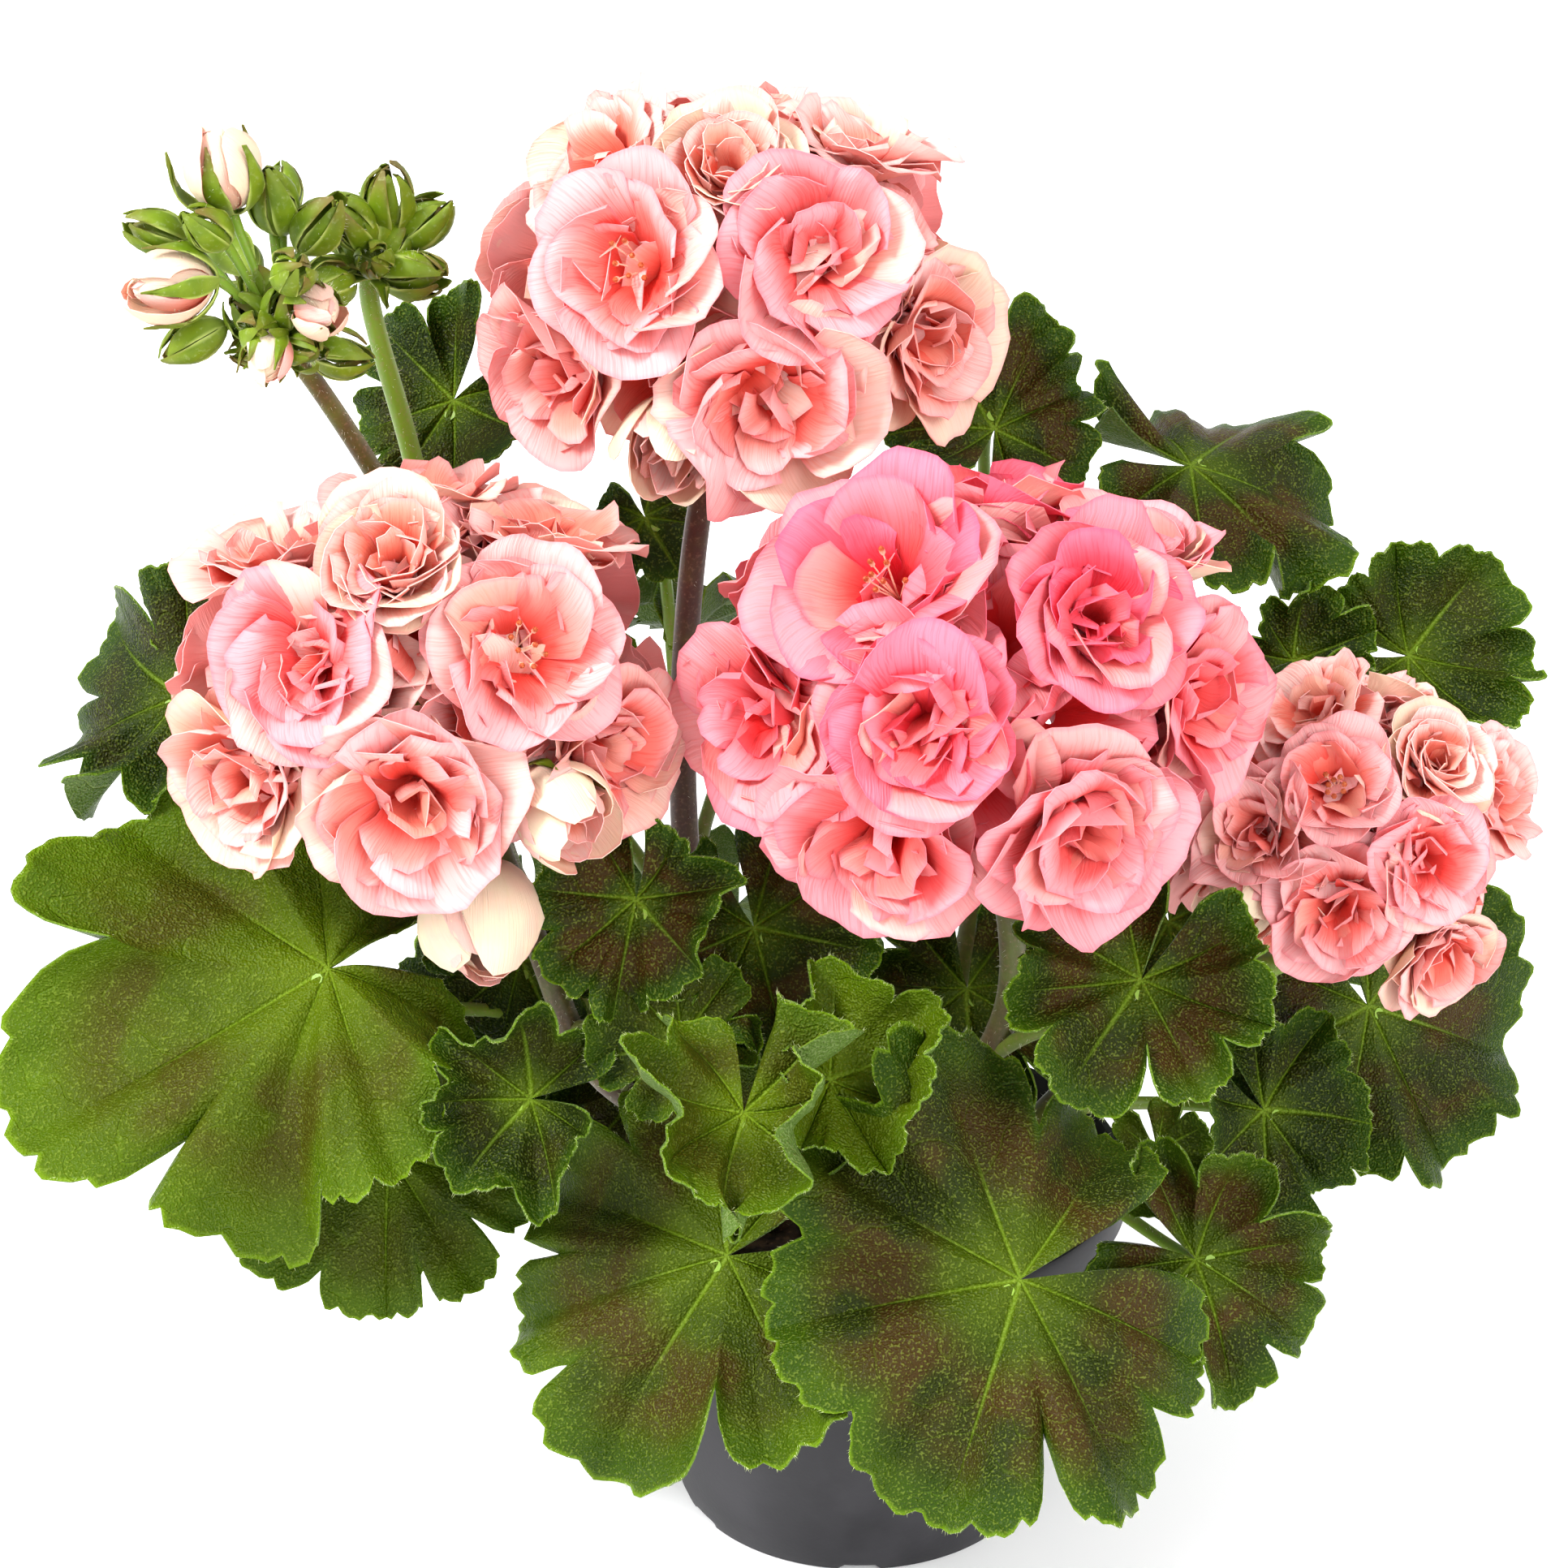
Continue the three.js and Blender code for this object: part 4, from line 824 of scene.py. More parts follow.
# Flower heads: dense domes of double florets, each a loose rose of about eighteen broad petals. The
# petals are thin and soft, coral in the throat and paler and pinker at the rim, and some of the
# outermost are cream. A head has its stem, its middle and its half width, depth and height, and
# each row gives a floret's turn, rise, radius, kind and how pink it is.
HEADS = {
    "a": {
        "stem": "back_left", "at": (-28, 10, 308), "half": (56, 52, 47),
        "florets": [
            (-6, 60, 19, "cup", 0.05), (-88, 48, 21, "open", 0.1), (96, 54, 21, "open", 0.15),
            (-34, 24, 22, "starry", 0.45), (26, 28, 22, "open", 0.6), (66, -10, 22, "bell", 0.2),
            (8, -22, 25, "open", 0.4), (-68, -22, 22, "funnel", 0.35), (180, 62, 21, "open", 0.2),
            (148, 14, 23, "open", 0.4), (-146, 14, 23, "cup", 0.25), (-108, 6, 19, "open", 0.3),
            (112, -16, 19, "open", 0.3),
        ],
    },
    "b": {
        "stem": "front_left", "at": (-98, -35, 231), "half": (55, 52, 51),
        "florets": [
            (-10, 62, 20, "cup", 0.05), (104, 50, 21, "open", 0.15), (-96, 44, 21, "open", 0.15),
            (40, 30, 22, "starry", 0.45), (-36, 28, 22, "open", 0.6), (-62, -20, 23, "bell", 0.2),
            (0, -16, 25, "open", 0.4), (66, -12, 22, "funnel", 0.35), (180, 60, 21, "open", 0.2),
            (146, 14, 23, "open", 0.4), (-148, 14, 23, "cup", 0.3), (-106, 2, 19, "open", 0.3),
            (112, -18, 19, "open", 0.3),
        ],
    },
    "c": {
        "stem": "front", "at": (23.5, -45, 233), "half": (61, 54, 52),
        "florets": [
            (-46, 54, 27, "starry", 0.95), (-16, 14, 22, "open", 0.9), (42, 42, 24, "full", 0.95),
            (-72, 0, 24, "open", 0.75), (-30, -30, 25, "open", 0.65), (28, -22, 26, "full", 0.6),
            (80, 4, 23, "open", 0.7), (98, 44, 22, "cup", 0.6), (170, 62, 23, "open", 0.95),
            (148, 10, 25, "open", 0.8), (-148, 14, 25, "full", 0.8), (-112, 32, 20, "open", 0.6),
            (118, -28, 20, "open", 0.7),
        ],
    },
    "d": {
        "stem": "right", "at": (114, -10, 180), "half": (42, 38, 43),
        "florets": [
            (44, 50, 16, "cup", 0.1), (-90, 72, 16, "open", 0.12), (90, 22, 16, "open", 0.2),
            (-20, 44, 15, "starry", 0.4), (24, 14, 16, "open", 0.55), (38, -32, 17, "bell", 0.25),
            (-12, -4, 17, "open", 0.45), (-50, 20, 17, "funnel", 0.35), (168, 60, 16, "open", 0.2),
            (156, -6, 19, "open", 0.4), (-148, 8, 19, "cup", 0.3), (-92, -4, 16, "open", 0.3),
        ],
    },
}
# Rings of petals in each kind of floret, from the outside in: how many petals and the arc they fill,
# their lean from the floret's axis at the root and at the tip, their length and half width in floret
# radii, how far the tip curls back, how closely they wrap the axis, how ruffled they are, and the
# faces across and along. Those that fill less than the round are bunched on one side.
FLORETS = {
    "open": [
        (6, 360, 42, 82, 1.24, 0.72, 16, 0.45, 0.07, 11, 8),
        (5, 360, 38, 72, 1.12, 0.64, 16, 0.5, 0.09, 9, 8),
        (4, 220, 26, 56, 0.92, 0.46, 26, 0.6, 0.11, 8, 8), (2, 200, 12, 30, 0.7, 0.28, 34, 0.9, 0.13, 6, 8),
    ],
    "starry": [
        (6, 360, 44, 84, 1.26, 0.7, 12, 0.45, 0.07, 11, 8), (6, 360, 38, 74, 1.12, 0.58, 14, 0.5, 0.09, 9, 8),
        (4, 250, 30, 62, 0.88, 0.4, 20, 0.6, 0.11, 8, 8),
    ],
    "cup": [
        (4, 290, 50, 56, 1.2, 0.78, 24, 0.8, 0.04, 11, 8), (5, 360, 42, 46, 1.18, 0.68, 16, 0.9, 0.05, 9, 8),
        (4, 360, 33, 37, 1.08, 0.6, 10, 0.95, 0.06, 9, 8), (4, 360, 24, 27, 0.98, 0.48, 4, 1.0, 0.07, 8, 8),
        (3, 360, 14, 14, 0.84, 0.34, 0, 1.0, 0.08, 6, 7),
    ],
    "bell": [
        (4, 300, 48, 60, 1.26, 0.74, 22, 0.7, 0.05, 11, 8), (5, 360, 40, 50, 1.16, 0.66, 18, 0.8, 0.07, 9, 8),
        (4, 300, 28, 38, 1.02, 0.54, 14, 0.8, 0.09, 8, 8), (3, 260, 14, 26, 0.84, 0.36, 16, 0.9, 0.11, 7, 8),
    ],
    "full": [
        (6, 360, 36, 76, 1.24, 0.64, 18, 0.5, 0.07, 11, 8), (6, 360, 28, 60, 1.14, 0.56, 24, 0.6, 0.09, 9, 8),
        (5, 360, 20, 45, 1.0, 0.46, 34, 0.75, 0.11, 8, 8), (4, 330, 10, 28, 0.8, 0.32, 30, 0.9, 0.13, 7, 8),
    ],
    "funnel": [
        (6, 360, 38, 72, 1.26, 0.7, 14, 0.6, 0.07, 11, 8), (6, 360, 30, 56, 1.14, 0.58, 10, 0.7, 0.08, 9, 8),
        (3, 150, 20, 44, 0.94, 0.4, 24, 0.85, 0.1, 8, 8), (2, 150, 10, 28, 0.74, 0.28, 20, 1.0, 0.12, 6, 8),
    ],
}
# The smaller florets that close a head behind the others
FILLER = [
    (5, 360, 40, 84, 1.15, 0.68, 12, 0.5, 0.08, 7, 6), (4, 360, 26, 56, 0.95, 0.5, 20, 0.6, 0.1, 6, 6),
]
# Single buds among the florets: their head, place, turn, rise, radius, length and kind
HEAD_BUDS = {
    "open_a": ("a", (-42, -21, 283), -20, -25, 10, 24, "half_open"),
    "open_b": ("b", (-67, -69, 216), 36, -20, 10, 24, "half_open"),
    "closed_b": ("b", (-84, -58, 186), 12, -45, 12.5, 25, "closed"),
    "open_d": ("d", (87, -27, 173), -40, -15, 7.5, 19, "half_open"),
}
# How cream the outermost petals of a kind are
GUARDED = {"cup": 0.8, "bell": 0.7}
FLORET_MARKS = ("reach", "side", "tone", "pink", "inner", "guard", "back")
FLORET_SHARE = 0.8
FLORET_GROWTH = 0.95
FILLER_COUNT = 24
FILLER_SHARE = 0.66
FILLER_RADIUS = 19
FILLER_SPAN = 1.6
GOLDEN_TURN = 137.5
# Florets turn and rise a little less than their place on the dome would have them
SIDE_SHARE = 0.66
RISE_SHARE = 0.66
FACE_RISE = 8
HIGH_RISE = 40
HIGH_FACE = 78
FLORET_ROOT = -0.46
PEDICEL_RADIUS = 0.9
PEDICEL_POINTS = 9
PEDICEL_SIDES = 6
# The stamens in the throat of the starry florets: radii in millimetres, the rest in floret radii
STAMEN_COUNT = 8
STAMEN_LEAN = (4, 26)
STAMEN_ROOT = -0.4
STAMEN_REACH = (0.5, 0.66)
STAMEN_RADII = [0.24, 0.2, 0.18, 0.62, 0.7, 0.3]
STAMEN_KNOTS = (0, 0.5, 0.84, 0.88, 0.96, 1)
STAMEN_SIDES = 6
# How the petals of one ring differ from its row: shares of length and width, and degrees of lean and
# of roll to one side. A pleat lifts their edges.
PETAL_LENGTHS = (0.9, 1.08)
PETAL_WIDTHS = (0.88, 1.14)
PETAL_LEANS = (-10, 8)
PETAL_PLEATS = (-0.1, 0.26)
PETAL_ROLLS = (3, 15)
RUFFLED_ROLL = 60
PETAL_ROOT_RADIUS = 0.07
ROOT_WIDTH = 0.2
WIDEST_AT = 0.72
TIP_ROUNDING = 0.42
NOTCH_DEPTH = 0.07
NOTCH_WIDTH = 0.22
TIGHTEST_ROUND = 0.66
TWIST = 0.12
CURL_START = 0.7
PETAL_THICKNESS = 0.22
LEAN_STEPS = 24
PARTED_SHARE = 1.9


def petal(bm, centre, axes, angle, size, ring, colours, dice, root=FLORET_ROOT, pointed=0.0):
    """A petal that grows from near the axis of its floret, leans outwards and wraps the axis"""
    root_lean, tip_lean, length, half_width, curl, wrap, ruffle, across, along = ring[2:]
    right, up, normal = axes
    out = right * math.cos(angle) + up * math.sin(angle)
    aside = out.cross(normal)
    length *= size * dice.uniform(*PETAL_LENGTHS)
    half_width *= size * dice.uniform(*PETAL_WIDTHS)
    lean = dice.uniform(*PETAL_LEANS)
    pleat = dice.uniform(*PETAL_PLEATS)
    roll = math.tan(math.radians(dice.uniform(*PETAL_ROLLS) + RUFFLED_ROLL * ruffle * dice.uniform(-1, 1)))
    waves = [dice.uniform(0, 2 * math.pi) for _ in range(4)]
    notch = NOTCH_DEPTH * dice.random()
    twist = dice.uniform(-TWIST, TWIST)
    tone = dice.random()

    # The petal's middle line: its distance from the axis, its height and its tilt at even steps
    step = length / LEAN_STEPS
    middle = [(PETAL_ROOT_RADIUS * size, root * size, 0.0)]
    for i in range(LEAN_STEPS):
        share = (i + 0.5) / LEAN_STEPS
        tip = max(0.0, (share - CURL_START) / (1 - CURL_START))
        tilt = math.radians(root_lean + lean + (tip_lean - root_lean) * share + curl * tip ** 1.5)
        reach, height, _ = middle[-1]
        middle.append((reach + step * math.sin(tilt), height + step * math.cos(tilt), tilt))
    middle[0] = (*middle[0][:2], middle[1][2])

    def place(side, way):
        dip = notch * math.exp(-((side / NOTCH_WIDTH) ** 2)) * way ** 6
        ahead = way * (1 - TIP_ROUNDING * side ** 2 * way) - dip
        spot = ahead * LEAN_STEPS
        low = min(int(spot), LEAN_STEPS - 1)
        share = spot - low
        reach, height, tilt = (a + (b - a) * share for a, b in zip(middle[low], middle[low + 1]))
        full = ROOT_WIDTH + (1 - ROOT_WIDTH) * math.sin(min(ahead / WIDEST_AT, 1.0) * math.pi / 2) ** 1.2
        width = half_width * full * (1 - pointed * way ** 2)
        round_radius = max(reach / wrap, TIGHTEST_ROUND * width)
        lateral = round_radius * math.sin(width * side / round_radius)
        inward = round_radius * (1 - math.cos(width * side / round_radius))
        inward += lateral * roll * way + abs(side) ** 1.2 * width * pleat * way
        edge = 1.5 * ruffle * size * way ** 1.6
        inward += 0.6 * edge * (0.35 + 0.65 * abs(side)) * math.sin(2.1 * math.pi * side + waves[0])
        inward += 0.65 * edge * math.sin(1.1 * math.pi * side + waves[1] + 2.4 * way)
        inward += 0.26 * edge * math.sin(3.1 * math.pi * side + waves[2]) * way ** 3
        lateral += 0.5 * edge * math.sin(2.2 * math.pi * way + waves[3]) + twist * width * way
        inner_way = normal * math.sin(tilt) - out * math.cos(tilt)
        point = centre + out * reach + normal * height + aside * lateral + inner_way * inward
        return point, way, side, tone, *colours, 0

    sheet(bm, across, along, place)


def floret(bm, centre, axes, size, rings, pink, dice, guard=0.0, **shape):
    """Rings of petals about one axis, each turned half a petal from the last"""
    start = dice.uniform(0, 2 * math.pi)
    for i, ring in enumerate(rings):
        inner = i / max(len(rings) - 1, 1)
        count, arc = ring[:2]
        for k in range(count):
            angle = start + math.radians(arc) * (k + 0.5 * (i % 2)) / count
            angle += dice.uniform(-0.12, 0.12) * (1 + 0.5 * i)
            if i == 0:
                paleness = max(guard, (0.9 - 0.6 * pink) * dice.random() ** 3)
            else:
                paleness = 0.5 * dice.random() ** 5
            petal(bm, centre, axes, angle, size, ring, (pink, inner, paleness), dice, **shape)


def stamen_ring(bm, centre, axes, size, dice):
    """Stamens that lean out from a floret's throat, each a thin filament with an anther at its end"""
    base = centre + axes[2] * STAMEN_ROOT * size
    for i in range(STAMEN_COUNT):
        lean = math.radians(dice.uniform(*STAMEN_LEAN))
        turn = math.radians(GOLDEN_TURN * i)
        way = axes[2] * math.cos(lean)
        way += (axes[0] * math.cos(turn) + axes[1] * math.sin(turn)) * math.sin(lean)
        length = dice.uniform(*STAMEN_REACH) * size
        knots = [base + way * length * share for share in STAMEN_KNOTS]
        tube(bm, knots, STAMEN_RADII, STAMEN_SIDES, tip=lambda t: 1.0 if t > 0.7 else 0.0)


def head_place(head, turn, rise, share):
    """A place in a flower head at a share of the way out"""
    return Vector(head["at"]) + Vector([w * h * share for w, h in zip(direction(turn, rise), head["half"])])


def floret_face(turn, rise):
    """The way that a floret faces: those at a head's sides turn towards its front or back"""
    side = abs(turn)
    if side > 90 and rise > HIGH_RISE:
        return facing(turn, HIGH_FACE)
    side = side * SIDE_SHARE if side <= 90 else 180 - (180 - side) * SIDE_SHARE
    return facing(math.copysign(side, turn), RISE_SHARE * rise + FACE_RISE)


def part_round(bm, centre, axes, radius, length):
    """Petals pushed aside round a bud, so that it shows between them"""
    wide = PARTED_SHARE * radius
    behind = 0.3 * length
    for vert in bm.verts:
        away = vert.co - centre
        along = away.dot(axes[2])
        aside = away - axes[2] * along
        distance = aside.length
        if along < -behind or distance > wide or distance < 0.01:
            continue
        share = min(1.0, (along + behind) / behind)
        vert.co += aside / distance * (radius + distance * (wide - radius) / wide - distance) * share


silk = Finish("petal_silk")
reach, side, tone, pink, inner = (silk.mark(m) for m in ("reach", "side", "tone", "pink", "inner"))
fan = silk.add("CombineXYZ", {
    "X": silk.math("MULTIPLY", side, 17.0), "Y": silk.math("MULTIPLY", reach, 1.4),
    "Z": silk.math("MULTIPLY", tone, 60.0),
})
streaks = silk.noise(fan, 2.0, 1.0)
mottle = silk.noise(silk.place(), 120.0, 1.0)
throat = silk.mix(pink, tint(248, 98, 70), tint(240, 40, 60))
flesh = silk.mix(pink, tint(248, 158, 132), tint(245, 82, 108))
border = silk.mix(pink, tint(248, 226, 216), tint(246, 118, 148))
rim = silk.mix(pink, tint(248, 160, 164), tint(230, 62, 112))
deep = silk.math("MULTIPLY_ADD", inner, -0.36, silk.math("MULTIPLY_ADD", tone, 0.28, reach))
upper = silk.mix(silk.step(deep, 0.2, 0.66), throat, flesh)
upper = silk.mix(silk.step(silk.math("MULTIPLY_ADD", mottle, 0.3, deep), 0.72, 1.16), upper, border)
upper = silk.mix(
    silk.math("MULTIPLY", silk.step(streaks, 0.5, 0.64, 0.0, 0.6), silk.step(reach, 0.3, 1.0, 1.0, 0.3)),
    upper, throat,
)
cream = silk.mix(silk.step(mottle, 0.35, 0.7), tint(243, 236, 204), tint(244, 222, 198))
cream = silk.mix(silk.step(streaks, 0.55, 0.8, 0.0, 0.25), cream, tint(228, 226, 172))
guarded = silk.mark("guard")
upper = silk.mix(silk.math("MULTIPLY", guarded, silk.step(reach, 0.2, 0.8, 0.2, 1.0)), upper, cream)
margin = silk.math("MAXIMUM", reach, silk.math("ABSOLUTE", side))
upper = silk.mix(silk.step(margin, 0.94, 1.0, 0.0, 0.4), upper, rim)
blush = silk.mix(silk.step(reach, 0.2, 0.9, 0.0, 0.75), flesh, border)
reverse = silk.mix(silk.step(guarded, 0.15, 0.6), blush, cream)
silk_tone = silk.mix(silk.mark("back"), upper, reverse)
petal_silk = silk.surface(silk_tone, {
    "Roughness": 0.55, "Specular IOR Level": 0.3, "Normal": silk.bump(streaks, 0.0005, 0.5),
}, silk.mix(0.45, silk_tone, throat), 0.34)

anther = Finish("stamen_skin")
anther_tone = anther.mix(anther.mark("tip"), tint(248, 214, 190), tint(150, 58, 26))
anther_grain = anther.noise(anther.place(), 2600.0, 1.0)
anther_tone = anther.mix(anther.step(anther_grain, 0.4, 0.7, 0.0, 0.4), anther_tone, tint(206, 128, 66))
stamen_skin = anther.surface(anther_tone, {"Roughness": 0.6, "Specular IOR Level": 0.3})

for order, (key, head) in enumerate(HEADS.items()):
    dice = random.Random(70 + order)
    petals = started(FLORET_MARKS)
    stalks = started(STEM_MARKS)
    stamens = started(("tip",))
    hub = stem_lines[head["stem"]][-1]
    for turn, rise, radius, kind, blush in head["florets"]:
        centre = head_place(head, turn, rise, FLORET_SHARE)
        axes = floret_face(turn, rise)
        size = radius * FLORET_GROWTH
        floret(petals, centre, axes, size, FLORETS[kind], blush, dice, guard=GUARDED.get(kind, 0.0))
        if kind == "starry":
            stamen_ring(stamens, centre, axes, size, dice)
        foot = centre + axes[2] * FLORET_ROOT * size
        line = bowed(hub, hub.lerp(foot, 0.5), foot - axes[2] * size * 0.4, foot, PEDICEL_POINTS)
        tube(stalks, line, [PEDICEL_RADIUS] * len(line), PEDICEL_SIDES, green=0.8)
    mean_blush = sum(row[4] for row in head["florets"]) / len(head["florets"])
    filler_size = FILLER_RADIUS * head["half"][0] / HEADS["a"]["half"][0]
    for i in range(FILLER_COUNT):
        rise = math.degrees(math.asin(1 - FILLER_SPAN * (i + 0.5) / FILLER_COUNT))
        turn = (GOLDEN_TURN * i) % 360 - 180
        centre = head_place(head, turn, rise, FILLER_SHARE)
        floret(petals, centre, facing(turn, rise), filler_size, FILLER, mean_blush, dice)
    for home, at, turn, rise, radius, length, _ in HEAD_BUDS.values():
        if home == key:
            part_round(petals, Vector(at), facing(turn, rise), radius, length)
    thickened(petals, PETAL_THICKNESS)
    slot = "petals_pink" if key == "c" else "petals_salmon"
    make_piece(petals, "florets_" + key, petal_silk, slot, "petals_" + key)
    make_piece(stalks, "pedicels_" + key, stem_skin, "foliage")
    make_piece(stamens, "stamens_" + key, stamen_skin, slot)

# Single buds in the heads: three that are half open, cream outside and coral at heart, and one that
# is still closed. Each sits on its own short stalk, in a calyx of narrow green sepals. The rings of
# petals are given as for the florets, here for the buds of the clusters too.
BUDS = {
    "half_open": [
        (5, 360, 70, -36, 2.35, 0.78, -6, 1.0, 0.03, 8, 9),
        (5, 360, 64, -24, 2.15, 0.6, -10, 1.0, 0.06, 7, 8),
        (5, 360, 44, -8, 1.75, 0.34, 6, 1.0, 0.12, 5, 8), (4, 360, 24, -4, 1.5, 0.22, 16, 1.0, 0.18, 5, 7),
    ],
    "closed": [
        (5, 360, 80, -70, 2.95, 0.86, 0, 1.0, 0.02, 8, 10), (5, 360, 76, -66, 2.8, 0.72, 0, 1.0, 0.02, 7, 9),
        (3, 360, 70, -50, 2.5, 0.5, 0, 1.0, 0.04, 6, 8),
    ],
    "slender": [
        (5, 360, 66, -64, 2.58, 0.66, 0, 1.0, 0.015, 7, 10), (4, 360, 60, -56, 2.4, 0.54, 0, 1.0, 0.02, 6, 9),
    ],
    "green": [
        (5, 360, 64, -60, 2.6, 0.46, 0, 1.0, 0.02, 5, 9), (4, 360, 54, -54, 2.4, 0.38, 0, 1.0, 0.02, 4, 8),
    ],
}
BUD_ROOT = -1.0
BUD_ROOT_SHARE = 0.42
BUD_STALK_RADIUS = 1.3
BUD_STALK_POINTS = 8
BUD_STALK_SIDES = 8
BUD_STALK_HAIRS = (80, 1.0)
CALYX = [(5, 360, 62, 2, 1.5, 0.26, 20, 1.0, 0.02, 4, 8)]
CALYX_GROWTH = 1.1
SEPAL_THICKNESS = 0.33
BUD_MARKS = (*FLORET_MARKS, "hair")

sepal = Finish("calyx_skin")
sepal_reach = sepal.mark("reach")
sepal_grain = sepal.noise(sepal.place(), 900.0)
sepal_cloud = sepal.noise(sepal.place(), 210.0)
sepal_side = sepal.math("ABSOLUTE", sepal.mark("side"))
sepal_tone = sepal.mix(sepal_cloud, tint(64, 92, 4), tint(126, 150, 20))
sepal_tone = sepal.mix(sepal.step(sepal_reach, 0.0, 0.5, 0.5, 0.0), sepal_tone, tint(176, 194, 92))
sepal_tone = sepal.mix(sepal.step(sepal_side, 0.6, 1.0, 0.0, 0.7), sepal_tone, tint(190, 206, 110))
sepal_blush = sepal.math(
    "MULTIPLY", sepal.step(sepal_reach, 0.6, 1.0), sepal.step(sepal.mark("tone"), 0.3, 0.9, 0.1, 0.6)
)
sepal_tone = sepal.mix(sepal_blush, sepal_tone, tint(112, 60, 52))
sepal_tone = sepal.mix(sepal.mark("hair"), sepal_tone, tint(228, 232, 204))
sepal_tone = sepal.mix(sepal.step(sepal_grain, 0.55, 0.8, 0.0, 0.25), sepal_tone, tint(196, 208, 150))
calyx_skin = sepal.surface(sepal_tone, {
    "Roughness": 0.5, "Specular IOR Level": 0.25, "Normal": sepal.bump(sepal_grain, 0.0002, 0.5),
}, tint(140, 180, 30), 0.12)


def cream_bud(name, node, centre, axes, length, kind, dice, pink, guard):
    """The petals of one bud, cream outside"""
    petals = started(FLORET_MARKS)
    floret(petals, centre, axes, length / 2, BUDS[kind], pink, dice, guard=guard, root=BUD_ROOT)
    thickened(petals, PETAL_THICKNESS)
    make_piece(petals, name, petal_silk, "petals_cream", node)


for order, (name, (key, at, turn, rise, radius, length, kind)) in enumerate(HEAD_BUDS.items()):
    dice = random.Random(90 + order)
    axes = facing(turn, rise)
    centre = Vector(at)
    cream_bud("bud_petals_" + name, "bud_" + name, centre, axes, length, kind, dice, 0.05, 0.8)
    green = started(BUD_MARKS)
    floret(green, centre, axes, length / 2 * CALYX_GROWTH, CALYX, 0, dice, root=BUD_ROOT, pointed=0.8)
    thickened(green, SEPAL_THICKNESS)
    foot = centre - axes[2] * length * 0.47
    middle = Vector(HEADS[key]["at"])
    root = middle + (foot - middle).normalized() * BUD_ROOT_SHARE * HEADS[key]["half"][0]
    line = bowed(root, root.lerp(foot, 0.4), foot - axes[2] * 4, foot, BUD_STALK_POINTS)
    radii = tapered(0.8 * BUD_STALK_RADIUS, 1.3 * BUD_STALK_RADIUS, len(line))
    tube(green, line, radii, BUD_STALK_SIDES, reach=0.3, tone=0.5)
    hairs(green, stalk_hairs(line, radii, *BUD_STALK_HAIRS, dice), reach=1, hair=1)
    make_piece(green, "bud_calyx_" + name, calyx_skin, "foliage")

# Bud clusters: two upright hairy stalks behind the left head, one brown and one bright green, each
# with a knot at its end and a bunch of buds on short stalks. The four largest already show cream
# petals between their parted sepals, and the rest are still closed and green. Each row gives a
# bud's place, turn, rise, radius and length.
CLUSTERS = {
    "brown": {
        "stalk": [
            (-82, 2, 165), (-98, 22, 212), (-108, 24, 246), (-111, 16, 259), (-124, 3, 289), (-129, -1, 298),
        ],
        "green_share": 0.22,
        "green": [
            (-131, 9, 328, -10, 62, 4.6, 17), (-144, -8, 327, -40, 40, 4.2, 13),
            (-121, 7, 323, 60, 50, 5.4, 15), (-125, -17, 320, 20, 30, 4.3, 12),
            (-148, -4, 300, -70, -25, 4.3, 13), (-156, 4, 322, -80, 25, 4.2, 13),
            (-141, 17, 312, -150, 10, 5, 15), (-121, 15, 306, 140, 0, 4.6, 14),
            (-132, 20, 326, 180, 40, 4.6, 14),
        ],
        "cream": [
            (-141, 0, 338, -20, 70, 8.2, 21), (-152, -10, 315, -70, 0, 7.6, 19),
            (-120, -14, 311, 30, 5, 6.2, 15), (-131, -14, 300, -10, -35, 4.8, 13),
        ],
    },
    "green": {
        "stalk": [
            (-56, 2, 118), (-76, 22, 165), (-98, 30, 225), (-105, 30, 262), (-113, 30, 300), (-112, 30, 306),
        ],
        "green_share": 0.95,
        "green": [
            (-116, 25, 318, -30, 50, 4.6, 14), (-103, 26, 306, 60, 5, 5, 15),
            (-108, 32, 321, 10, 70, 4.8, 15), (-101, 34, 315, 80, 40, 4.6, 14),
            (-114, 38, 313, -160, 30, 4.6, 14),
        ],
        "cream": [],
    },
}
STALK_RADIUS = 2.2
STALK_HAIRS = (700, 1.4)
KNOT_RADIUS = 3.6
BRACTS = [
    (7, 360, 66, 116, 1.7, 0.4, 14, 0.6, 0.08, 5, 7), (6, 360, 40, 84, 1.4, 0.34, 10, 0.6, 0.08, 4, 6),
]
BOW_RADII = [0.8, 0.85, 0.9, 1.0, 1.1, 1.25, 1.4]
BOW_HAIRS = (40, 0.9)
BUD_HAIRS = 80
CREAM_CALYX = [(5, 360, 72, -42, 2.1, 0.4, 40, 1.0, 0.03, 5, 9)]
SMALL_BUDS = {"brown": 16, "green": 7}
SMALL_BUD_REACH = (6, 14)
SMALL_BUD_RISES = (85, -10)
SMALL_BUD_LENGTHS = (9, 13)
SMALL_BUD_GIRTH = 0.34
GREEN_BUD_GROWTH = 1.14


def small_buds(hub, count, dice):
    """Places, faces and sizes of the smallest buds, spread round the knot where they all meet"""
    highest, lowest = SMALL_BUD_RISES
    rows = []
    for i in range(count):
        turn, rise = (GOLDEN_TURN * i) % 360 - 180, highest - (highest - lowest) * (i + 0.5) / count
        spot = hub + direction(turn, rise) * dice.uniform(*SMALL_BUD_REACH)
        length = dice.uniform(*SMALL_BUD_LENGTHS)
        rows.append((*spot, turn + dice.uniform(-25, 25), rise, SMALL_BUD_GIRTH * length, length))
    return rows


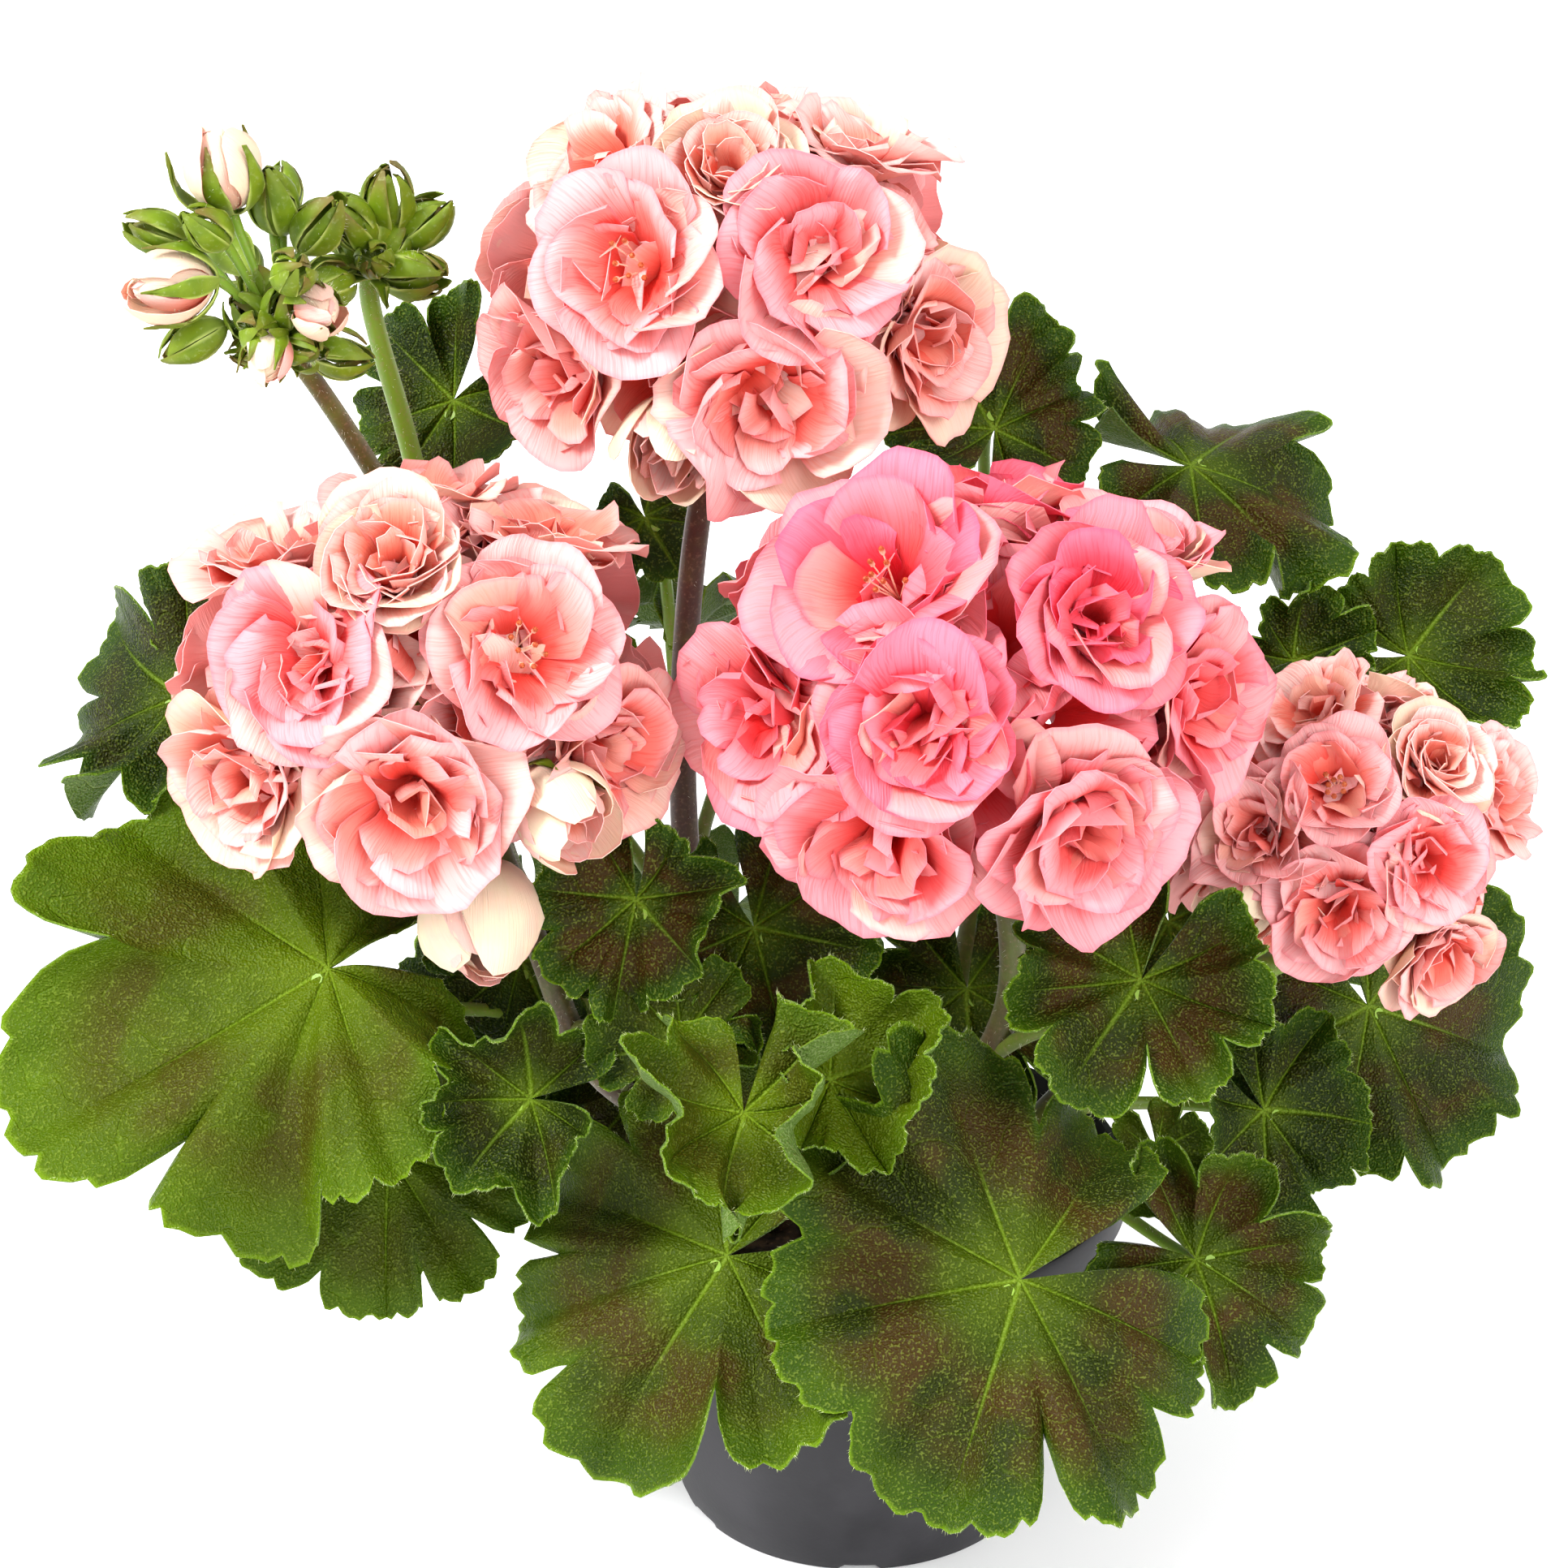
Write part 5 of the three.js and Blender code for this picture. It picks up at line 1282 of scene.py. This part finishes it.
def bud_hairs(centre, axes, radius, length, dice):
    """Roots and tips of the hairs that stand out from a bud"""
    roots = []
    for _ in range(BUD_HAIRS):
        turn, along = dice.uniform(0, 2 * math.pi), dice.uniform(-0.9, 0.7)
        way = axes[0] * math.cos(turn) + axes[1] * math.sin(turn)
        root = centre + axes[2] * along * length / 2 + way * radius * math.sqrt(1 - along ** 2) * 0.97
        roots.append((root, root + (way + axes[2] * 0.3) * dice.uniform(0.5, 1.2)))
    return roots


for order, (name, cluster) in enumerate(CLUSTERS.items()):
    dice = random.Random(110 + order)
    line = smooth_line(cluster["stalk"], STEM_SMOOTHNESS)
    radii = tapered(PEDUNCLE_RADIUS, STALK_RADIUS, len(line))
    stalk = started(STEM_MARKS)
    tube(stalk, line, radii, STEM_SIDES, green=cluster["green_share"])
    roots = stalk_hairs(line, radii, *STALK_HAIRS, dice)
    hub = line[-1]
    green = started(BUD_MARKS)
    floret(green, hub, facing(0, 89), 2.4 * KNOT_RADIUS, BRACTS, 0, dice, root=-0.3, pointed=0.7)
    bud_roots = []
    small = small_buds(hub, SMALL_BUDS[name], dice)
    for x, y, z, turn, rise, radius, length in [*cluster["green"], *cluster["cream"], *small]:
        centre, axes = Vector((x, y, z)), facing(turn, rise)
        foot = centre - axes[2] * length * 0.5
        bow = bowed(hub, hub.lerp(foot, 0.5), foot - axes[2] * 3, foot, len(BOW_RADII))
        tube(stalk, bow, BOW_RADII, BUD_STALK_SIDES, green=0.85)
        roots += stalk_hairs(bow, BOW_RADII, *BOW_HAIRS, dice)
        bud_roots += bud_hairs(centre, axes, radius, length, dice)
    for x, y, z, turn, rise, _, length in [*cluster["green"], *small]:
        size = length / 2 * GREEN_BUD_GROWTH
        axes = facing(turn, rise)
        floret(green, Vector((x, y, z)), axes, size, BUDS["green"], 0, dice, root=BUD_ROOT, pointed=0.5)
    for i, (x, y, z, turn, rise, _, length) in enumerate(cluster["cream"], 1):
        centre, axes = Vector((x, y, z)), facing(turn, rise)
        size = length / 2 * CALYX_GROWTH
        floret(green, centre, axes, size, CREAM_CALYX, 0, dice, root=BUD_ROOT, pointed=0.75)
        cream_bud(f"cream_bud_{i}", f"bud_cream_{i}", centre, axes, length, "slender", dice, 0.0, 0.9)
    thickened(green, SEPAL_THICKNESS)
    hairs(stalk, roots, green=1, hair=1)
    hairs(green, bud_roots, reach=1, hair=1)
    make_piece(stalk, "cluster_stalk_" + name, stem_skin, "foliage", "shoot_left")
    make_piece(green, "cluster_buds_" + name, calyx_skin, "foliage", "shoot_left")
